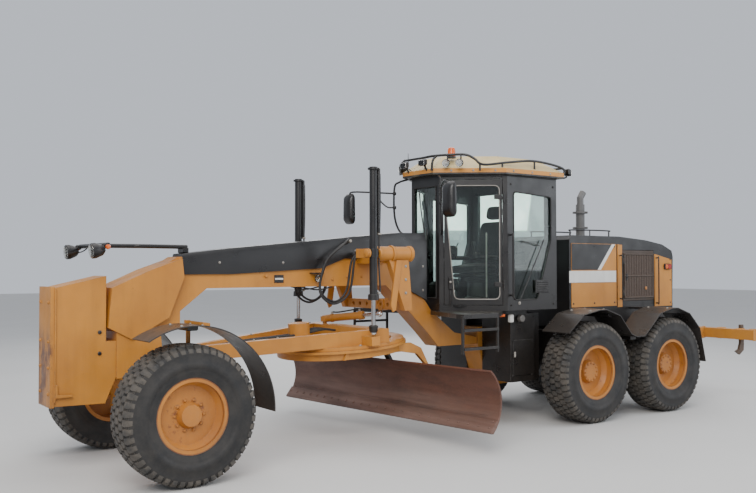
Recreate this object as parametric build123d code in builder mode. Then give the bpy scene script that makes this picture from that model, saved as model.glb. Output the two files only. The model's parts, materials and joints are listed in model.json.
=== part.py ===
from build123d import *
import os
from math import cos, radians, sin, tan

# Motor grader, in millimetres
# X forward, Y to the left, Z up, origin on the ground under the middle of the machine

# Stations along the machine
FRONT_X = 5070
AXLE_X = 4120
WHEELBASE = 6123
TANDEM_SPACING = 1523
HITCH_BACK = 4930
CIRCLE_BACK = 2320

# Wheels and tyres
TYRE_R = 630
TYRE_W = 445
TREAD_W = 380
TRACK = 2066
BEAD_R = 318
FLANGE_R = 355
RIM_W = 356
FLANGE_T = 14
RIM_WALL = 18
DISC_T = 22
SPINDLE_R = 45
RUNNING_GAP = 0.3
FRONT_DISC_OUT = 70
REAR_DISC_OUT = 10
FRONT_CAP_OUT = 150
REAR_CAP_OUT = 80
CAP_T = 30
HUB_DEPTH = 60

# Front axle, lean heads and kingpins
AXLE_BEAM_W = 170
AXLE_END_Y = 590
LEAN_Y = 645
LEAN_Z = 500
LEAN_PIN_R = 28
LEAN_EYE_R = 48
LEAN_EYE_T = 70
LEAN_ROD_RISE = 290
ROD_EYE_R = 34
ROD_PIN_R = 16
FORK_T = 22
KINGPIN_Y = 790
KINGPIN_R = 26
HEAD_HALF_H = 165
HEAD_ARM_T = 36
HEAD_W = 120
HEAD_WEB_T = 28
KNUCKLE_R = 52
JOINT_GAP = 0.8

# Front frame
BEAM_W = 255
BEAM_TOP_Z = 2047
BEAM_H = 321
PLATE_T = 40
HITCH_PIN_R = 55
BOLSTER_HALF = 190
NOSE_HALF = 205
PUSH_HALF = 182
ARM_PIVOT_Y = 600
LINK_Z = 1505
LINK_HOLES = (-420, -280, -140, 0, 140, 280, 420)

# Blade gear
CIRCLE_TILT = 4
CIRCLE_TURN = 5
BALL_BACK = 200
BALL_Z = 1035
BALL_R = 70
TONGUE_R = 55
RING_R = 765
RING_BORE_R = 640
RING_H = 100
DRAWBAR_H = 152
DRAWBAR_Y = 700
DRAWBAR_BACK = 2500
SHOE_T = 36
ARM_Y = 600
ARM_T = 45
HINGE_BACK = 775
HINGE_DROP = 690
HINGE_PIN_R = 30
BLADE_L = 3660
BLADE_T = 22
BLADE_ARC_R = 413
BLADE_LOW = -228
BLADE_HIGH = 412
BLADE_BACK = 141.092
BLADE_SHIFT = 30
EDGE_H = 152
EDGE_T = 16
SLIDE_GAP = 1
CARRIER_Y = 500
CARRIER_T = 40
RAIL_BACK = 85
RAIL_HEAD = 18
RAIL_W = 44
RAIL_NECK = 20
SEAT_W = 20

# Cylinders
LIFT_BACK = 2246
LIFT_Y = 790
TRUNNION_Z = 2090
LIFT_TOP_Z = 3020
LIFT_BARREL_LOW_Z = 1590
LIFT_EYE_Z = 1234.5
BARREL_R = 43
BARREL_BORE_R = 30
ROD_R = 23
LIFT_EYE_R = 34
LIFT_ROD_TOP_Z = 2450
TRUNNION_R = 56
TRUNNION_PIN_R = 20
GLAND_T = 60

# Cab
CAB_FRONT_BACK = 3600
CAB_FRONT_HALF = 270
CAB_POST_BACK = 4240
CAB_REAR_BACK = 5100
CAB_HALF = 790
CAB_FLOOR_Z = 1410
CAB_TOP_Z = 3060
CAB_WALL = 50
FLOOR_T = 50
GLASS_T = 8
DOOR_T = 45
DOOR_GAP = 6
POST_W = 55
HINGE_ALONG = 46
HINGE_OUT = 20
HINGE_EYE_R = 14
HINGE_PIN = 8
LEAF_H = 40
DOOR_HINGE_Z = (1700, 2760)
GRILLE_HINGE_Z = (1580, 2020)
DOOR_LOW_Z = 1475
DOOR_HIGH_Z = 3010
WINDOW_HIGH_Z = 2930
PANE_REAR = 95
PANE_FRONT = 89.621
PANE_SLANT = 95
PANE_LOW_Z = 1550
PANE_SLANT_Z = 2600
WINDSHIELD_LOW_Z = 1560
WINDSHIELD_HALF = 215
REAR_WINDOW_LOW_Z = 1900
REAR_WINDOW_HALF = 620
SIDE_WINDOW = [(4345, 2860), (5000, 2820), (5000, 2280), (4760, 1540), (4345, 1540)]
LADDER_LOW_Z = 965
LADDER_FRONT_BACK = 3270
LADDER_W = 530
LADDER_Y = 1070
ROOF_TOP_Z = 3308

# Rear unit
HOOD_HALF = 530
HOOD_FRONT_BACK = WHEELBASE - 493
HOOD_REAR_BACK = WHEELBASE + 1757
HOOD_TOP_Z = 2365
HOOD_LOW_Z = 1130
HOOD_WALL = 30
HINGE_SIDE_OUT = 15
GRILLE_FRONT = HOOD_FRONT_BACK + 1100
GRILLE_REAR = GRILLE_FRONT + 690
GRILLE_LOW = 1460
GRILLE_HIGH = 2180
EXHAUST_BACK = WHEELBASE + 337
ENGINE_BACK = WHEELBASE + 377
ENGINE_FEET = 900
RAIL_FRONT_BACK = WHEELBASE - 723
RAIL_REAR_BACK = WHEELBASE + 2177
RAIL_Y = 400
FENDER_REAR_IN_Y = 830
FENDER_REAR_OUT_Y = 1275
FENDER_STRAP_Y = 1150
FENDER_DIP_Z = 1050
FENDER_LEAN = 3
FENDER_STRAPS = ((WHEELBASE - 473, WHEELBASE - 403), (WHEELBASE + 717, WHEELBASE + 797))
FENDER_STRAP_H = 30
RIPPER_PIVOT_BACK = RAIL_REAR_BACK + 170
RIPPER_PIVOT_Z = 860
RIPPER_LUG_Y = 300
RIPPER_PIN_R = 30
TOW_R = 28
TANDEM_Y = 680
TANDEM_W = 190
TANDEM_H = 560
FENDER_T = 10
FENDER_W = 400
FENDER_IN_Y = 850
FENDER_FRONT_R = 800
FENDER_FIRST = 58
FENDER_SWEEP = 124

WHEEL_Y = TRACK / 2
REAR_AXLES = (WHEELBASE - TANDEM_SPACING / 2, WHEELBASE + TANDEM_SPACING / 2)
CAB_INNER_FLOOR = CAB_FLOOR_Z + FLOOR_T


def back(d):
    """X of a place d behind the front axle."""
    return AXLE_X - d


def upright(y):
    """Plane drawn in X and Z, y to the left of the middle, facing right."""
    return Plane.XZ.offset(-y)


def crosswise(d):
    """Plane drawn in Y and Z, d behind the front axle, facing forward."""
    return Plane.YZ.offset(back(d))


def beam_side(points):
    """Points given behind the front axle and above the ground, as X and Z."""
    return [(back(d), z) for d, z in points]


def across(frame, v):
    """Plane drawn in a tilted frame's forward and up, v to its left, facing its right."""
    return Plane(frame.from_local_coords((0, v, 0)), x_dir=frame.x_dir, z_dir=-frame.y_dir)


def bar(start, end, radius):
    """Round bar or tube from one place to another, as seen from outside."""
    path = Vector(*end) - Vector(*start)
    with BuildPart() as piece:
        with BuildSketch(Plane(origin=start, z_dir=path)):
            Circle(radius)
        extrude(amount=path.length)
    return piece.part


pieces = {}

# Tyres and rims


def tyre(d, side):
    middle = side * WHEEL_Y
    half = TYRE_W / 2
    bead = RIM_W / 2 - FLANGE_T - RUNNING_GAP
    outline = [
        (-bead, BEAD_R + RUNNING_GAP), (-bead, FLANGE_R + 8), (-half, 0.5 * (FLANGE_R + TYRE_R)),
        (-half + 8, TYRE_R - 70), (-TREAD_W / 2, TYRE_R - 8), (-TREAD_W / 2 + 40, TYRE_R),
        (TREAD_W / 2 - 40, TYRE_R), (TREAD_W / 2, TYRE_R - 8), (half - 8, TYRE_R - 70),
        (half, 0.5 * (FLANGE_R + TYRE_R)), (bead, FLANGE_R + 8), (bead, BEAD_R + RUNNING_GAP),
    ]
    with BuildPart() as piece:
        with BuildSketch(crosswise(d)):
            with BuildLine():
                Polyline(*[(middle + y, TYRE_R + r) for y, r in outline], close=True)
            make_face()
        revolve(axis=Axis((back(d), 0, TYRE_R), (0, 1, 0)))
    return piece


def rim(d, side, disc_out, hub_r, cap_out):
    middle = side * WHEEL_Y
    half = RIM_W / 2
    inner_r = BEAD_R - RIM_WALL
    face = disc_out + DISC_T / 2
    rear = disc_out - DISC_T / 2
    outline = [
        (-half, FLANGE_R), (-half + FLANGE_T, FLANGE_R), (-half + FLANGE_T, BEAD_R),
        (half - FLANGE_T, BEAD_R), (half - FLANGE_T, FLANGE_R), (half, FLANGE_R), (half, inner_r),
        (face + 60, inner_r), (face, inner_r - 40), (face, hub_r), (cap_out, hub_r - 25), (cap_out, 0),
        (cap_out - CAP_T, 0), (cap_out - CAP_T, SPINDLE_R + RUNNING_GAP),
        (rear - HUB_DEPTH, SPINDLE_R + RUNNING_GAP),
        (rear - HUB_DEPTH, hub_r), (rear, hub_r), (rear, inner_r), (-half, inner_r),
    ]
    with BuildPart() as piece:
        with BuildSketch(crosswise(d)):
            with BuildLine():
                Polyline(*[(middle + side * y, TYRE_R + r) for y, r in outline], close=True)
            make_face()
        revolve(axis=Axis((back(d), 0, TYRE_R), (0, 1, 0)))
    return piece


# Wheels: name, distance behind the front axle, disc, hub radius and cap
WHEELS = (
    ("front", 0, FRONT_DISC_OUT, 120, FRONT_CAP_OUT),
    ("mid", REAR_AXLES[0], REAR_DISC_OUT, 150, REAR_CAP_OUT),
    ("rear", REAR_AXLES[1], REAR_DISC_OUT, 150, REAR_CAP_OUT),
)
for place, d, disc_out, hub_r, cap_out in WHEELS:
    for hand, side in (("left", 1), ("right", -1)):
        pieces[f"tyre_{place}_{hand}"] = tyre(d, side)
        pieces[f"rim_{place}_{hand}"] = rim(d, side, disc_out, hub_r, cap_out)

# Front axle beam with the eyes of the lean pins
with BuildPart() as front_axle:
    with BuildSketch(Plane.YZ.offset(AXLE_X)):
        with BuildLine():
            Polyline(
                (-AXLE_END_Y, LEAN_Z - 70), (-AXLE_END_Y, LEAN_Z + 70), (-260, LEAN_Z + 150),
                (260, LEAN_Z + 150), (AXLE_END_Y, LEAN_Z + 70), (AXLE_END_Y, LEAN_Z - 70),
                (260, LEAN_Z - 60), (-260, LEAN_Z - 60), close=True,
            )
        make_face()
    extrude(amount=AXLE_BEAM_W / 2, both=True)
    for side in (1, -1):
        with BuildSketch(Plane.YZ.offset(AXLE_X)):
            with Locations((side * LEAN_Y, LEAN_Z)):
                Circle(LEAN_EYE_R)
            with Locations((side * (AXLE_END_Y + LEAN_Y) / 2, LEAN_Z)):
                Rectangle(LEAN_Y - AXLE_END_Y, 2 * LEAN_EYE_R)
        extrude(amount=LEAN_EYE_T / 2, both=True)
        with BuildSketch(Plane.YZ.offset(AXLE_X)):
            with Locations((side * LEAN_Y, LEAN_Z)):
                Circle(LEAN_PIN_R + RUNNING_GAP)
        extrude(amount=AXLE_BEAM_W, both=True, mode=Mode.SUBTRACT)
pieces["front_axle"] = front_axle

# Lean heads: a fork over the axle eye, its pin, the kingpin and its two arms


def lean_head(side):
    low = TYRE_R - HEAD_HALF_H
    web_y = KINGPIN_Y - KNUCKLE_R - DOOR_GAP - HEAD_WEB_T / 2
    fork_y = (LEAN_Y + web_y) / 2
    with BuildPart() as piece:
        for arm_z in (low, low + 2 * HEAD_HALF_H - HEAD_ARM_T):
            with BuildSketch(Plane.XY.offset(arm_z)):
                with Locations((AXLE_X, side * KINGPIN_Y)):
                    Circle(HEAD_W / 2)
                with Locations((AXLE_X, side * (KINGPIN_Y + web_y) / 2)):
                    Rectangle(HEAD_W, KINGPIN_Y - web_y)
            extrude(amount=HEAD_ARM_T)
        with BuildSketch(Plane.XY.offset(low)):
            with Locations((AXLE_X, side * web_y)):
                Rectangle(HEAD_W, HEAD_WEB_T)
        extrude(amount=2 * HEAD_HALF_H)
        for fore in (1, -1):
            fork_x = AXLE_X + fore * (LEAN_EYE_T / 2 + JOINT_GAP + FORK_T / 2)
            with BuildSketch(Plane.YZ.offset(fork_x)):
                for eye_z, eye_r in ((LEAN_Z, LEAN_EYE_R), (LEAN_Z + LEAN_ROD_RISE, ROD_EYE_R)):
                    with Locations((side * LEAN_Y, eye_z)):
                        Circle(eye_r)
                    with Locations((side * fork_y, eye_z)):
                        Rectangle(web_y - LEAN_Y, 2 * eye_r)
            extrude(amount=FORK_T / 2, both=True)
        with BuildSketch(Plane.YZ.offset(AXLE_X)):
            with Locations((side * LEAN_Y, LEAN_Z)):
                Circle(LEAN_PIN_R)
            with Locations((side * LEAN_Y, LEAN_Z + LEAN_ROD_RISE)):
                Circle(ROD_PIN_R)
        extrude(amount=LEAN_EYE_T / 2 + FORK_T + 10, both=True)
        with BuildSketch(Plane.XY.offset(low)):
            with Locations((AXLE_X, side * KINGPIN_Y)):
                Circle(KINGPIN_R)
        extrude(amount=2 * HEAD_HALF_H)
    return piece


def knuckle(side):
    low = TYRE_R - HEAD_HALF_H + HEAD_ARM_T + JOINT_GAP
    height = 2 * (HEAD_HALF_H - HEAD_ARM_T - JOINT_GAP)
    hub_back = WHEEL_Y + FRONT_DISC_OUT - DISC_T / 2 - HUB_DEPTH
    with BuildPart() as piece:
        with BuildSketch(Plane.XY.offset(low)):
            with Locations((AXLE_X, side * KINGPIN_Y)):
                Circle(KNUCKLE_R)
        extrude(amount=height)
        with BuildSketch(upright(side * KINGPIN_Y)):
            with Locations((AXLE_X, TYRE_R)):
                Circle(SPINDLE_R + 30)
        extrude(amount=-side * (hub_back - JOINT_GAP - KINGPIN_Y))
        with BuildSketch(upright(side * KINGPIN_Y)):
            with Locations((AXLE_X, TYRE_R)):
                Circle(SPINDLE_R)
        extrude(amount=-side * (WHEEL_Y + FRONT_CAP_OUT - CAP_T - JOINT_GAP - KINGPIN_Y))
        with BuildSketch(Plane.XY.offset(TYRE_R - 40)):
            with BuildLine():
                Polyline(
                    *[(AXLE_X - x, side * (KINGPIN_Y + y)) for x, y in (
                        (20, 40), (70, 66), (150, 14), (150, -14), (112, -14), (112, -2),
                        (62, 34), (20, 10))],
                    close=True,
                )
            make_face()
        extrude(amount=80)
        with BuildSketch(upright(side * (KINGPIN_Y - 14))):
            with Locations((AXLE_X - 131, TYRE_R + FENDER_FRONT_R / 2)):
                Rectangle(38, FENDER_FRONT_R + 40)
        extrude(amount=-side * 20)
        with BuildSketch(upright(side * (KINGPIN_Y - 14))):
            with Locations((AXLE_X, TYRE_R)):
                Circle(FENDER_FRONT_R + 28)
                Circle(FENDER_FRONT_R, mode=Mode.SUBTRACT)
            with Locations((AXLE_X - 131, TYRE_R + FENDER_FRONT_R)):
                Rectangle(70, 200, mode=Mode.INTERSECT)
        extrude(amount=-side * (FENDER_IN_Y + FENDER_W - 60 - KINGPIN_Y + 14))
        with BuildSketch(Plane.XY.offset(low)):
            with Locations((AXLE_X, side * KINGPIN_Y)):
                Circle(KINGPIN_R + RUNNING_GAP)
        extrude(amount=height, mode=Mode.SUBTRACT)
    return piece


for hand, side in (("left", 1), ("right", -1)):
    pieces[f"lean_head_{hand}"] = lean_head(side)
    pieces[f"knuckle_{hand}"] = knuckle(side)

# Lean rod between the tops of the two heads
with BuildPart() as lean_rod:
    with BuildSketch(Plane.YZ.offset(AXLE_X)):
        with Locations((0, LEAN_Z + LEAN_ROD_RISE)):
            Rectangle(2 * LEAN_Y, 1.3 * ROD_EYE_R)
        with Locations((LEAN_Y, LEAN_Z + LEAN_ROD_RISE), (-LEAN_Y, LEAN_Z + LEAN_ROD_RISE)):
            Circle(ROD_EYE_R)
    extrude(amount=LEAN_EYE_T / 2, both=True)
    with BuildSketch(Plane.YZ.offset(AXLE_X)):
        with Locations((LEAN_Y, LEAN_Z + LEAN_ROD_RISE), (-LEAN_Y, LEAN_Z + LEAN_ROD_RISE)):
            Circle(ROD_PIN_R + RUNNING_GAP)
    extrude(amount=LEAN_EYE_T, both=True, mode=Mode.SUBTRACT)
pieces["lean_rod"] = lean_rod

# Front fenders: a curved sheet over the back of the tyre on a bracket from the knuckle


def front_fender(side):
    inner = FENDER_FRONT_R - FENDER_T
    with BuildPart() as piece:
        with BuildSketch(upright(side * FENDER_IN_Y)):
            with BuildLine():
                CenterArc((AXLE_X, TYRE_R), FENDER_FRONT_R, FENDER_FIRST, FENDER_SWEEP)
                CenterArc((AXLE_X, TYRE_R), inner, FENDER_FIRST, FENDER_SWEEP)
                for angle in (FENDER_FIRST, FENDER_FIRST + FENDER_SWEEP):
                    ahead = cos(radians(angle))
                    up = sin(radians(angle))
                    Line(
                        (AXLE_X + inner * ahead, TYRE_R + inner * up),
                        (AXLE_X + FENDER_FRONT_R * ahead, TYRE_R + FENDER_FRONT_R * up),
                    )
            make_face()
        extrude(amount=-side * FENDER_W)
    return piece


for hand, side in (("left", 1), ("right", -1)):
    pieces[f"front_fender_{hand}"] = front_fender(side)

# Front frame: box beam, its bend down behind the saddle and the belly plates
BEAM_LOW_Z = BEAM_TOP_Z - BEAM_H
BEAM_SIDE = [
    (300, BEAM_TOP_Z), (3010, BEAM_TOP_Z), (3500, 1520), (3595, 1400), (3960, 1125), (4330, 1050),
    (4700, 1050), (4700, 620), (4560, 560), (4440, 640), (4375, 965), (3700, 965), (3520, 1150),
    (2900, BEAM_LOW_Z), (620, BEAM_LOW_Z),
    (330, 1500), (330, 1350), (-330, 1350), (-330, 1640), (0, 1860),
]
BOLSTER_SIDE = [(-335, 880), (-335, 1360), (100, 1360), (120, 1120), (120, 880)]
with BuildPart() as main_frame:
    with BuildSketch(Plane.XZ):
        with BuildLine():
            Polyline(*beam_side(BEAM_SIDE), close=True)
        make_face()
    extrude(amount=BEAM_W / 2, both=True)
    with BuildSketch(Plane.XZ):
        with BuildLine():
            Polyline(*beam_side(BOLSTER_SIDE), close=True)
        make_face()
    extrude(amount=BOLSTER_HALF, both=True)
    for leg in (1, -1):
        with BuildSketch(Plane.YZ.offset(AXLE_X + leg * (AXLE_BEAM_W / 2 + JOINT_GAP + PLATE_T / 2))):
            with BuildLine():
                Polyline((-150, 900), (150, 900), (90, LEAN_Z), (-90, LEAN_Z), close=True)
            make_face()
        extrude(amount=PLATE_T / 2, both=True)
    with BuildSketch(Plane.YZ.offset(back(BALL_BACK))):
        with Locations((0, BALL_Z)):
            Circle(BALL_R + 30)
    extrude(amount=BALL_BACK - 110)
    with Locations((back(BALL_BACK), 0, BALL_Z)):
        Sphere(BALL_R + RUNNING_GAP, mode=Mode.SUBTRACT)
    for plate_z in (430, 1130):
        with BuildSketch(Plane.XY.offset(plate_z)):
            with Locations((back(HITCH_BACK), 0)):
                Circle(150)
            with Locations((back(HITCH_BACK) + 175, 0)):
                Rectangle(350, 300)
        extrude(amount=50)
    with BuildSketch(Plane.XZ):
        with BuildLine():
            web = ((-600, 1180), (-170, 1180), (-170, 430), (-370, 430), (-490, 640), (-600, 970))
            Polyline(*beam_side([(HITCH_BACK + d, z) for d, z in web]), close=True)
        make_face()
    extrude(amount=150, both=True)
    with BuildSketch(Plane.XY.offset(430)):
        with Locations((back(HITCH_BACK), 0)):
            Circle(HITCH_PIN_R)
    extrude(amount=750)
pieces["main_frame"] = main_frame

# Nose cover over the front of the beam
NOSE_SIDE = [
    (-388, 1746), (6, 1919), (321, 2030), (344, 1839), (187, 1445), (-182, 1241), (-420, 1368),
]
with BuildPart() as nose_cover:
    with BuildSketch(Plane.XZ):
        with BuildLine():
            Polyline(*beam_side(NOSE_SIDE), close=True)
        make_face()
    extrude(amount=NOSE_HALF, both=True)
    with BuildSketch(Plane.XZ):
        with BuildLine():
            Polyline(*beam_side(BEAM_SIDE), close=True)
        make_face()
    extrude(amount=BEAM_W / 2 + RUNNING_GAP, both=True, mode=Mode.SUBTRACT)
    with BuildSketch(Plane.XZ):
        with BuildLine():
            Polyline(*beam_side(BOLSTER_SIDE), close=True)
        make_face()
    extrude(amount=BOLSTER_HALF + RUNNING_GAP, both=True, mode=Mode.SUBTRACT)
pieces["nose_cover"] = nose_cover

# Push block with its thick front plate
with BuildPart() as push_block:
    with BuildSketch(Plane.XZ):
        with BuildLine():
            Polyline(
                *beam_side([(-915, 665), (-915, 1750), (-435, 1860), (-435, 1240), (-335, 1240),
                            (-335, 900), (-440, 655)]),
                close=True,
            )
        make_face()
    extrude(amount=PUSH_HALF, both=True)
    with BuildSketch(Plane.YZ.offset(FRONT_X - PLATE_T)):
        with Locations((0, (655 + 1762) / 2)):
            Rectangle(2 * PUSH_HALF + 16, 1762 - 655)
    extrude(amount=PLATE_T)
pieces["push_block"] = push_block

# Cover of the hoses along the top of the beam
with BuildPart() as hose_cover:
    with BuildSketch(Plane.XZ):
        with BuildLine():
            Polyline(
                *beam_side([(350, 1950), (350, 2085), (480, 2085), (600, 2125), (2900, 2125),
                            (3100, 2160), (3330, 2160), (3330, 1830), (3280, 1830), (3030, 2048),
                            (2870, 2048), (2870, 2092), (2470, 2092), (2470, 1950)]),
                close=True,
            )
        make_face()
    extrude(amount=BEAM_W / 2 + 25, both=True)
    with BuildSketch(Plane.XZ):
        with BuildLine():
            Polyline(*beam_side(BEAM_SIDE), close=True)
        make_face()
    extrude(amount=BEAM_W / 2 + RUNNING_GAP, both=True, mode=Mode.SUBTRACT)
pieces["hose_cover"] = hose_cover

# Light bar over the nose, with two head lamps
with BuildPart() as light_bar:
    for y in (-60, 60):
        add(bar((back(430), y, 2150), (back(-500), y, 2150), 17))
    with BuildSketch(Plane.XY.offset(2085)):
        with Locations((back(415), 0)):
            Rectangle(60, 150)
    extrude(amount=60)
    add(bar((back(-500), -430, 2150), (back(-500), 430, 2150), 20))
    for y in (-400, 400):
        with BuildSketch(Plane.XY.offset(2045)):
            with Locations((back(-590), y)):
                Rectangle(130, 170)
        extrude(amount=100)
        with BuildSketch(Plane.XY.offset(2140)):
            with Locations((back(-525), y)):
                Rectangle(60, 60)
        extrude(amount=25)
pieces["light_bar"] = light_bar

# Lift arms: saddle arms, pivot tubes, drop arms, link bar and the yokes of the lift cylinders
with BuildPart() as lift_arms:
    for side in (1, -1):
        with BuildSketch(Plane.XY.offset(1981)):
            with BuildLine():
                Polyline(
                    *[(back(d), side * y) for d, y in (
                        (2480, 128), (2860, 128), (2860, 200), (2790, 560), (2510, 560), (2480, 200))],
                    close=True,
                )
            make_face()
        extrude(amount=110)
        with BuildSketch(crosswise(2860)):
            with Locations((side * ARM_PIVOT_Y, TRUNNION_Z)):
                Circle(80)
        extrude(amount=2860 - 2380)
        with BuildSketch(upright(side * ARM_PIVOT_Y)):
            with BuildLine():
                Polyline(*beam_side([(2560, 2050), (2840, 2050), (2900, 1450), (2790, 1450)]), close=True)
            make_face()
        extrude(amount=38, both=True)
        with BuildSketch(Plane.XY.offset(TRUNNION_Z - 50)):
            with Locations((back((LIFT_BACK - 90 + 2390) / 2), side * (ARM_PIVOT_Y + 20))):
                Rectangle(2390 - LIFT_BACK + 90, 60)
        extrude(amount=100)
        for fore in (1, -1):
            with BuildSketch(Plane.YZ.offset(back(LIFT_BACK) + fore * (TRUNNION_R + 6 + FORK_T / 2))):
                with Locations((side * LIFT_Y, TRUNNION_Z)):
                    Circle(50)
                with Locations((side * (ARM_PIVOT_Y + LIFT_Y) / 2, TRUNNION_Z)):
                    Rectangle(LIFT_Y - ARM_PIVOT_Y, 100)
                with Locations((side * LIFT_Y, TRUNNION_Z)):
                    Circle(TRUNNION_PIN_R + RUNNING_GAP, mode=Mode.SUBTRACT)
            extrude(amount=FORK_T / 2, both=True)
    with BuildSketch(crosswise(2890)):
        with Locations((0, LINK_Z)):
            Rectangle(2 * ARM_PIVOT_Y, 110)
        with Locations(*[(y, LINK_Z) for y in LINK_HOLES]):
            Circle(24, mode=Mode.SUBTRACT)
    extrude(amount=80)
pieces["lift_arms"] = lift_arms

# Blade gear frames: drawbar from its ball, the turned circle and the blade at its tip hinge
tilt = radians(CIRCLE_TILT)
turn = radians(CIRCLE_TURN)
draw = Plane((back(BALL_BACK), 0, BALL_Z), x_dir=(cos(tilt), 0, -sin(tilt)), z_dir=(sin(tilt), 0, cos(tilt)))
RING_DROP = DRAWBAR_H / 2 + SHOE_T + JOINT_GAP
CIRCLE_REACH = (CIRCLE_BACK - BALL_BACK) / cos(tilt)
ring = Plane(
    draw.from_local_coords((-CIRCLE_REACH, 0, -RING_DROP)),
    x_dir=draw.x_dir * cos(turn) + draw.y_dir * sin(turn),
    z_dir=draw.z_dir,
)
blade_forward = ring.y_dir.cross(Vector(0, 0, 1)).normalized()
hinge = Plane(
    ring.from_local_coords((-HINGE_BACK, 0, -HINGE_DROP)),
    x_dir=blade_forward,
    z_dir=blade_forward.cross(ring.y_dir),
)

with BuildPart() as drawbar_ball:
    with Locations((back(BALL_BACK), 0, BALL_Z)):
        Sphere(BALL_R)
pieces["drawbar_ball"] = drawbar_ball

# Drawbar: tongue, two diverging beams, rear cross beam, circle guide and circle drive
BEAM_SPREAD = (DRAWBAR_Y - 60) / (DRAWBAR_BACK - 320)
LIFT_U = -(LIFT_BACK - BALL_BACK) / cos(tilt)
SHIFT_START = (-2225, -450, 135)
SHIFT_END = (-2590, 180, 184)
with BuildPart() as drawbar:
    with BuildSketch(draw.offset(-DRAWBAR_H / 2)):
        with BuildLine():
            Polyline(
                (-120, 60), (-2300, DRAWBAR_Y + 38), (-2300, -DRAWBAR_Y - 38), (-120, -60), close=True
            )
        make_face()
        with BuildLine():
            Polyline((-420, 66), (-2160, 610), (-2160, -610), (-420, -66), close=True)
        make_face(mode=Mode.SUBTRACT)
    extrude(amount=DRAWBAR_H)
    with BuildSketch(Plane(draw.origin, x_dir=draw.y_dir, z_dir=-draw.x_dir)):
        Circle(TONGUE_R)
    extrude(amount=200)
    with Locations((back(BALL_BACK), 0, BALL_Z)):
        Sphere(BALL_R + RUNNING_GAP, mode=Mode.SUBTRACT)
    with BuildSketch(draw.offset(-DRAWBAR_H / 2 - SHOE_T)):
        with Locations((-CIRCLE_REACH, 0)):
            Circle(RING_R - 25)
            Circle(RING_BORE_R - 40, mode=Mode.SUBTRACT)
    extrude(amount=SHOE_T)
    with BuildSketch(draw.offset(-DRAWBAR_H / 2)):
        with Locations((-1560, 0)):
            Rectangle(220, 900)
    extrude(amount=60)
    with BuildSketch(draw.offset(-DRAWBAR_H / 2)):
        with Locations((-1600, 0)):
            Circle(120)
    extrude(amount=250)
    for side in (1, -1):
        with BuildSketch(draw.offset(-DRAWBAR_H / 2)):
            with Locations((LIFT_U, side * (LIFT_Y - 50))):
                Rectangle(110, 190)
        extrude(amount=DRAWBAR_H / 2 + SEAT_W)
    with BuildSketch(draw.offset(DRAWBAR_H / 2)):
        with Locations(SHIFT_START[:2]):
            Circle(24)
    extrude(amount=SHIFT_START[2] + 40 - DRAWBAR_H / 2)
pieces["drawbar"] = drawbar

# Circle: ring, blade arms with the tip hinge pins, and the barrel of the tip cylinder
ARM_SIDE = [
    (430, -100), (400, -29), (-540, -29), (-700, -110), (-790, -290), (-850, -480),
    (-HINGE_BACK - 80, -HINGE_DROP), (-HINGE_BACK + 55, -HINGE_DROP + 20), (-735, -560), (-752, -300),
    (-630, -170), (-400, -115), (-200, -100),
]
with BuildPart() as circle:
    with BuildSketch(Plane(ring.origin, x_dir=ring.x_dir, z_dir=-ring.y_dir)):
        with BuildLine():
            Polyline(
                (RING_BORE_R, 0), (RING_R, 0), (RING_R, -28), (RING_R - 45, -28),
                (RING_R - 45, -RING_H), (RING_BORE_R, -RING_H), close=True,
            )
        make_face()
    revolve(axis=Axis(ring.origin, ring.z_dir))
    for side in (1, -1):
        with BuildSketch(across(ring, side * ARM_Y)):
            with BuildLine():
                Polyline(*ARM_SIDE, close=True)
            make_face()
            with Locations((-HINGE_BACK, -HINGE_DROP)):
                Circle(80)
        extrude(amount=ARM_T / 2, both=True)
        with BuildSketch(across(ring, side * (ARM_Y + ARM_T / 2))):
            with Locations((-HINGE_BACK, -HINGE_DROP)):
                Circle(HINGE_PIN_R)
        extrude(amount=side * (ARM_T + 130))
    with BuildSketch(across(ring, 0)):
        with BuildLine():
            Polyline((-560, -60), (-560, -150), (-640, -178), (-740, -178), (-760, -60), close=True)
        make_face()
    extrude(amount=60, both=True)
pieces["circle"] = circle

# Blade carrier: two plates on the hinge pins, guides for the blade rails and a cross tube
RAILS = ((-70, "low"), (290, "high"))
CARRIER_SIDE = [
    (-55, -50), (0, -62), (70, -120), (112, -120), (122, 0), (128, 200), (142, 330),
    (95, 345), (30, 330), (-30, 200), (-60, 40),
]
with BuildPart() as blade_carrier:
    for side in (1, -1):
        with BuildSketch(across(hinge, side * CARRIER_Y)):
            with BuildLine():
                Polyline(*CARRIER_SIDE, close=True)
            make_face()
            Circle(HINGE_PIN_R + RUNNING_GAP, mode=Mode.SUBTRACT)
        extrude(amount=CARRIER_T / 2, both=True)
        for rail_w, _ in RAILS:
            with BuildSketch(across(hinge, side * CARRIER_Y)):
                with Locations((RAIL_BACK + RAIL_HEAD / 2, rail_w)):
                    Rectangle(RAIL_HEAD + 2 * SLIDE_GAP, RAIL_W + 2 * SLIDE_GAP)
                with Locations((RAIL_BACK + 60, rail_w)):
                    Rectangle(120, RAIL_NECK + 2 * SLIDE_GAP)
            extrude(amount=CARRIER_T, both=True, mode=Mode.SUBTRACT)
    with BuildSketch(across(hinge, 0)):
        with Locations((0, 150)):
            Circle(42)
    extrude(amount=CARRIER_Y, both=True)
    for side in (1, -1):
        with BuildSketch(across(hinge, side * 38)):
            with BuildLine():
                Polyline((0, 190), (0, 110), (-150, 10), (-190, 50), (-150, 90), close=True)
            make_face()
        extrude(amount=10, both=True)
pieces["blade_carrier"] = blade_carrier

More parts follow.
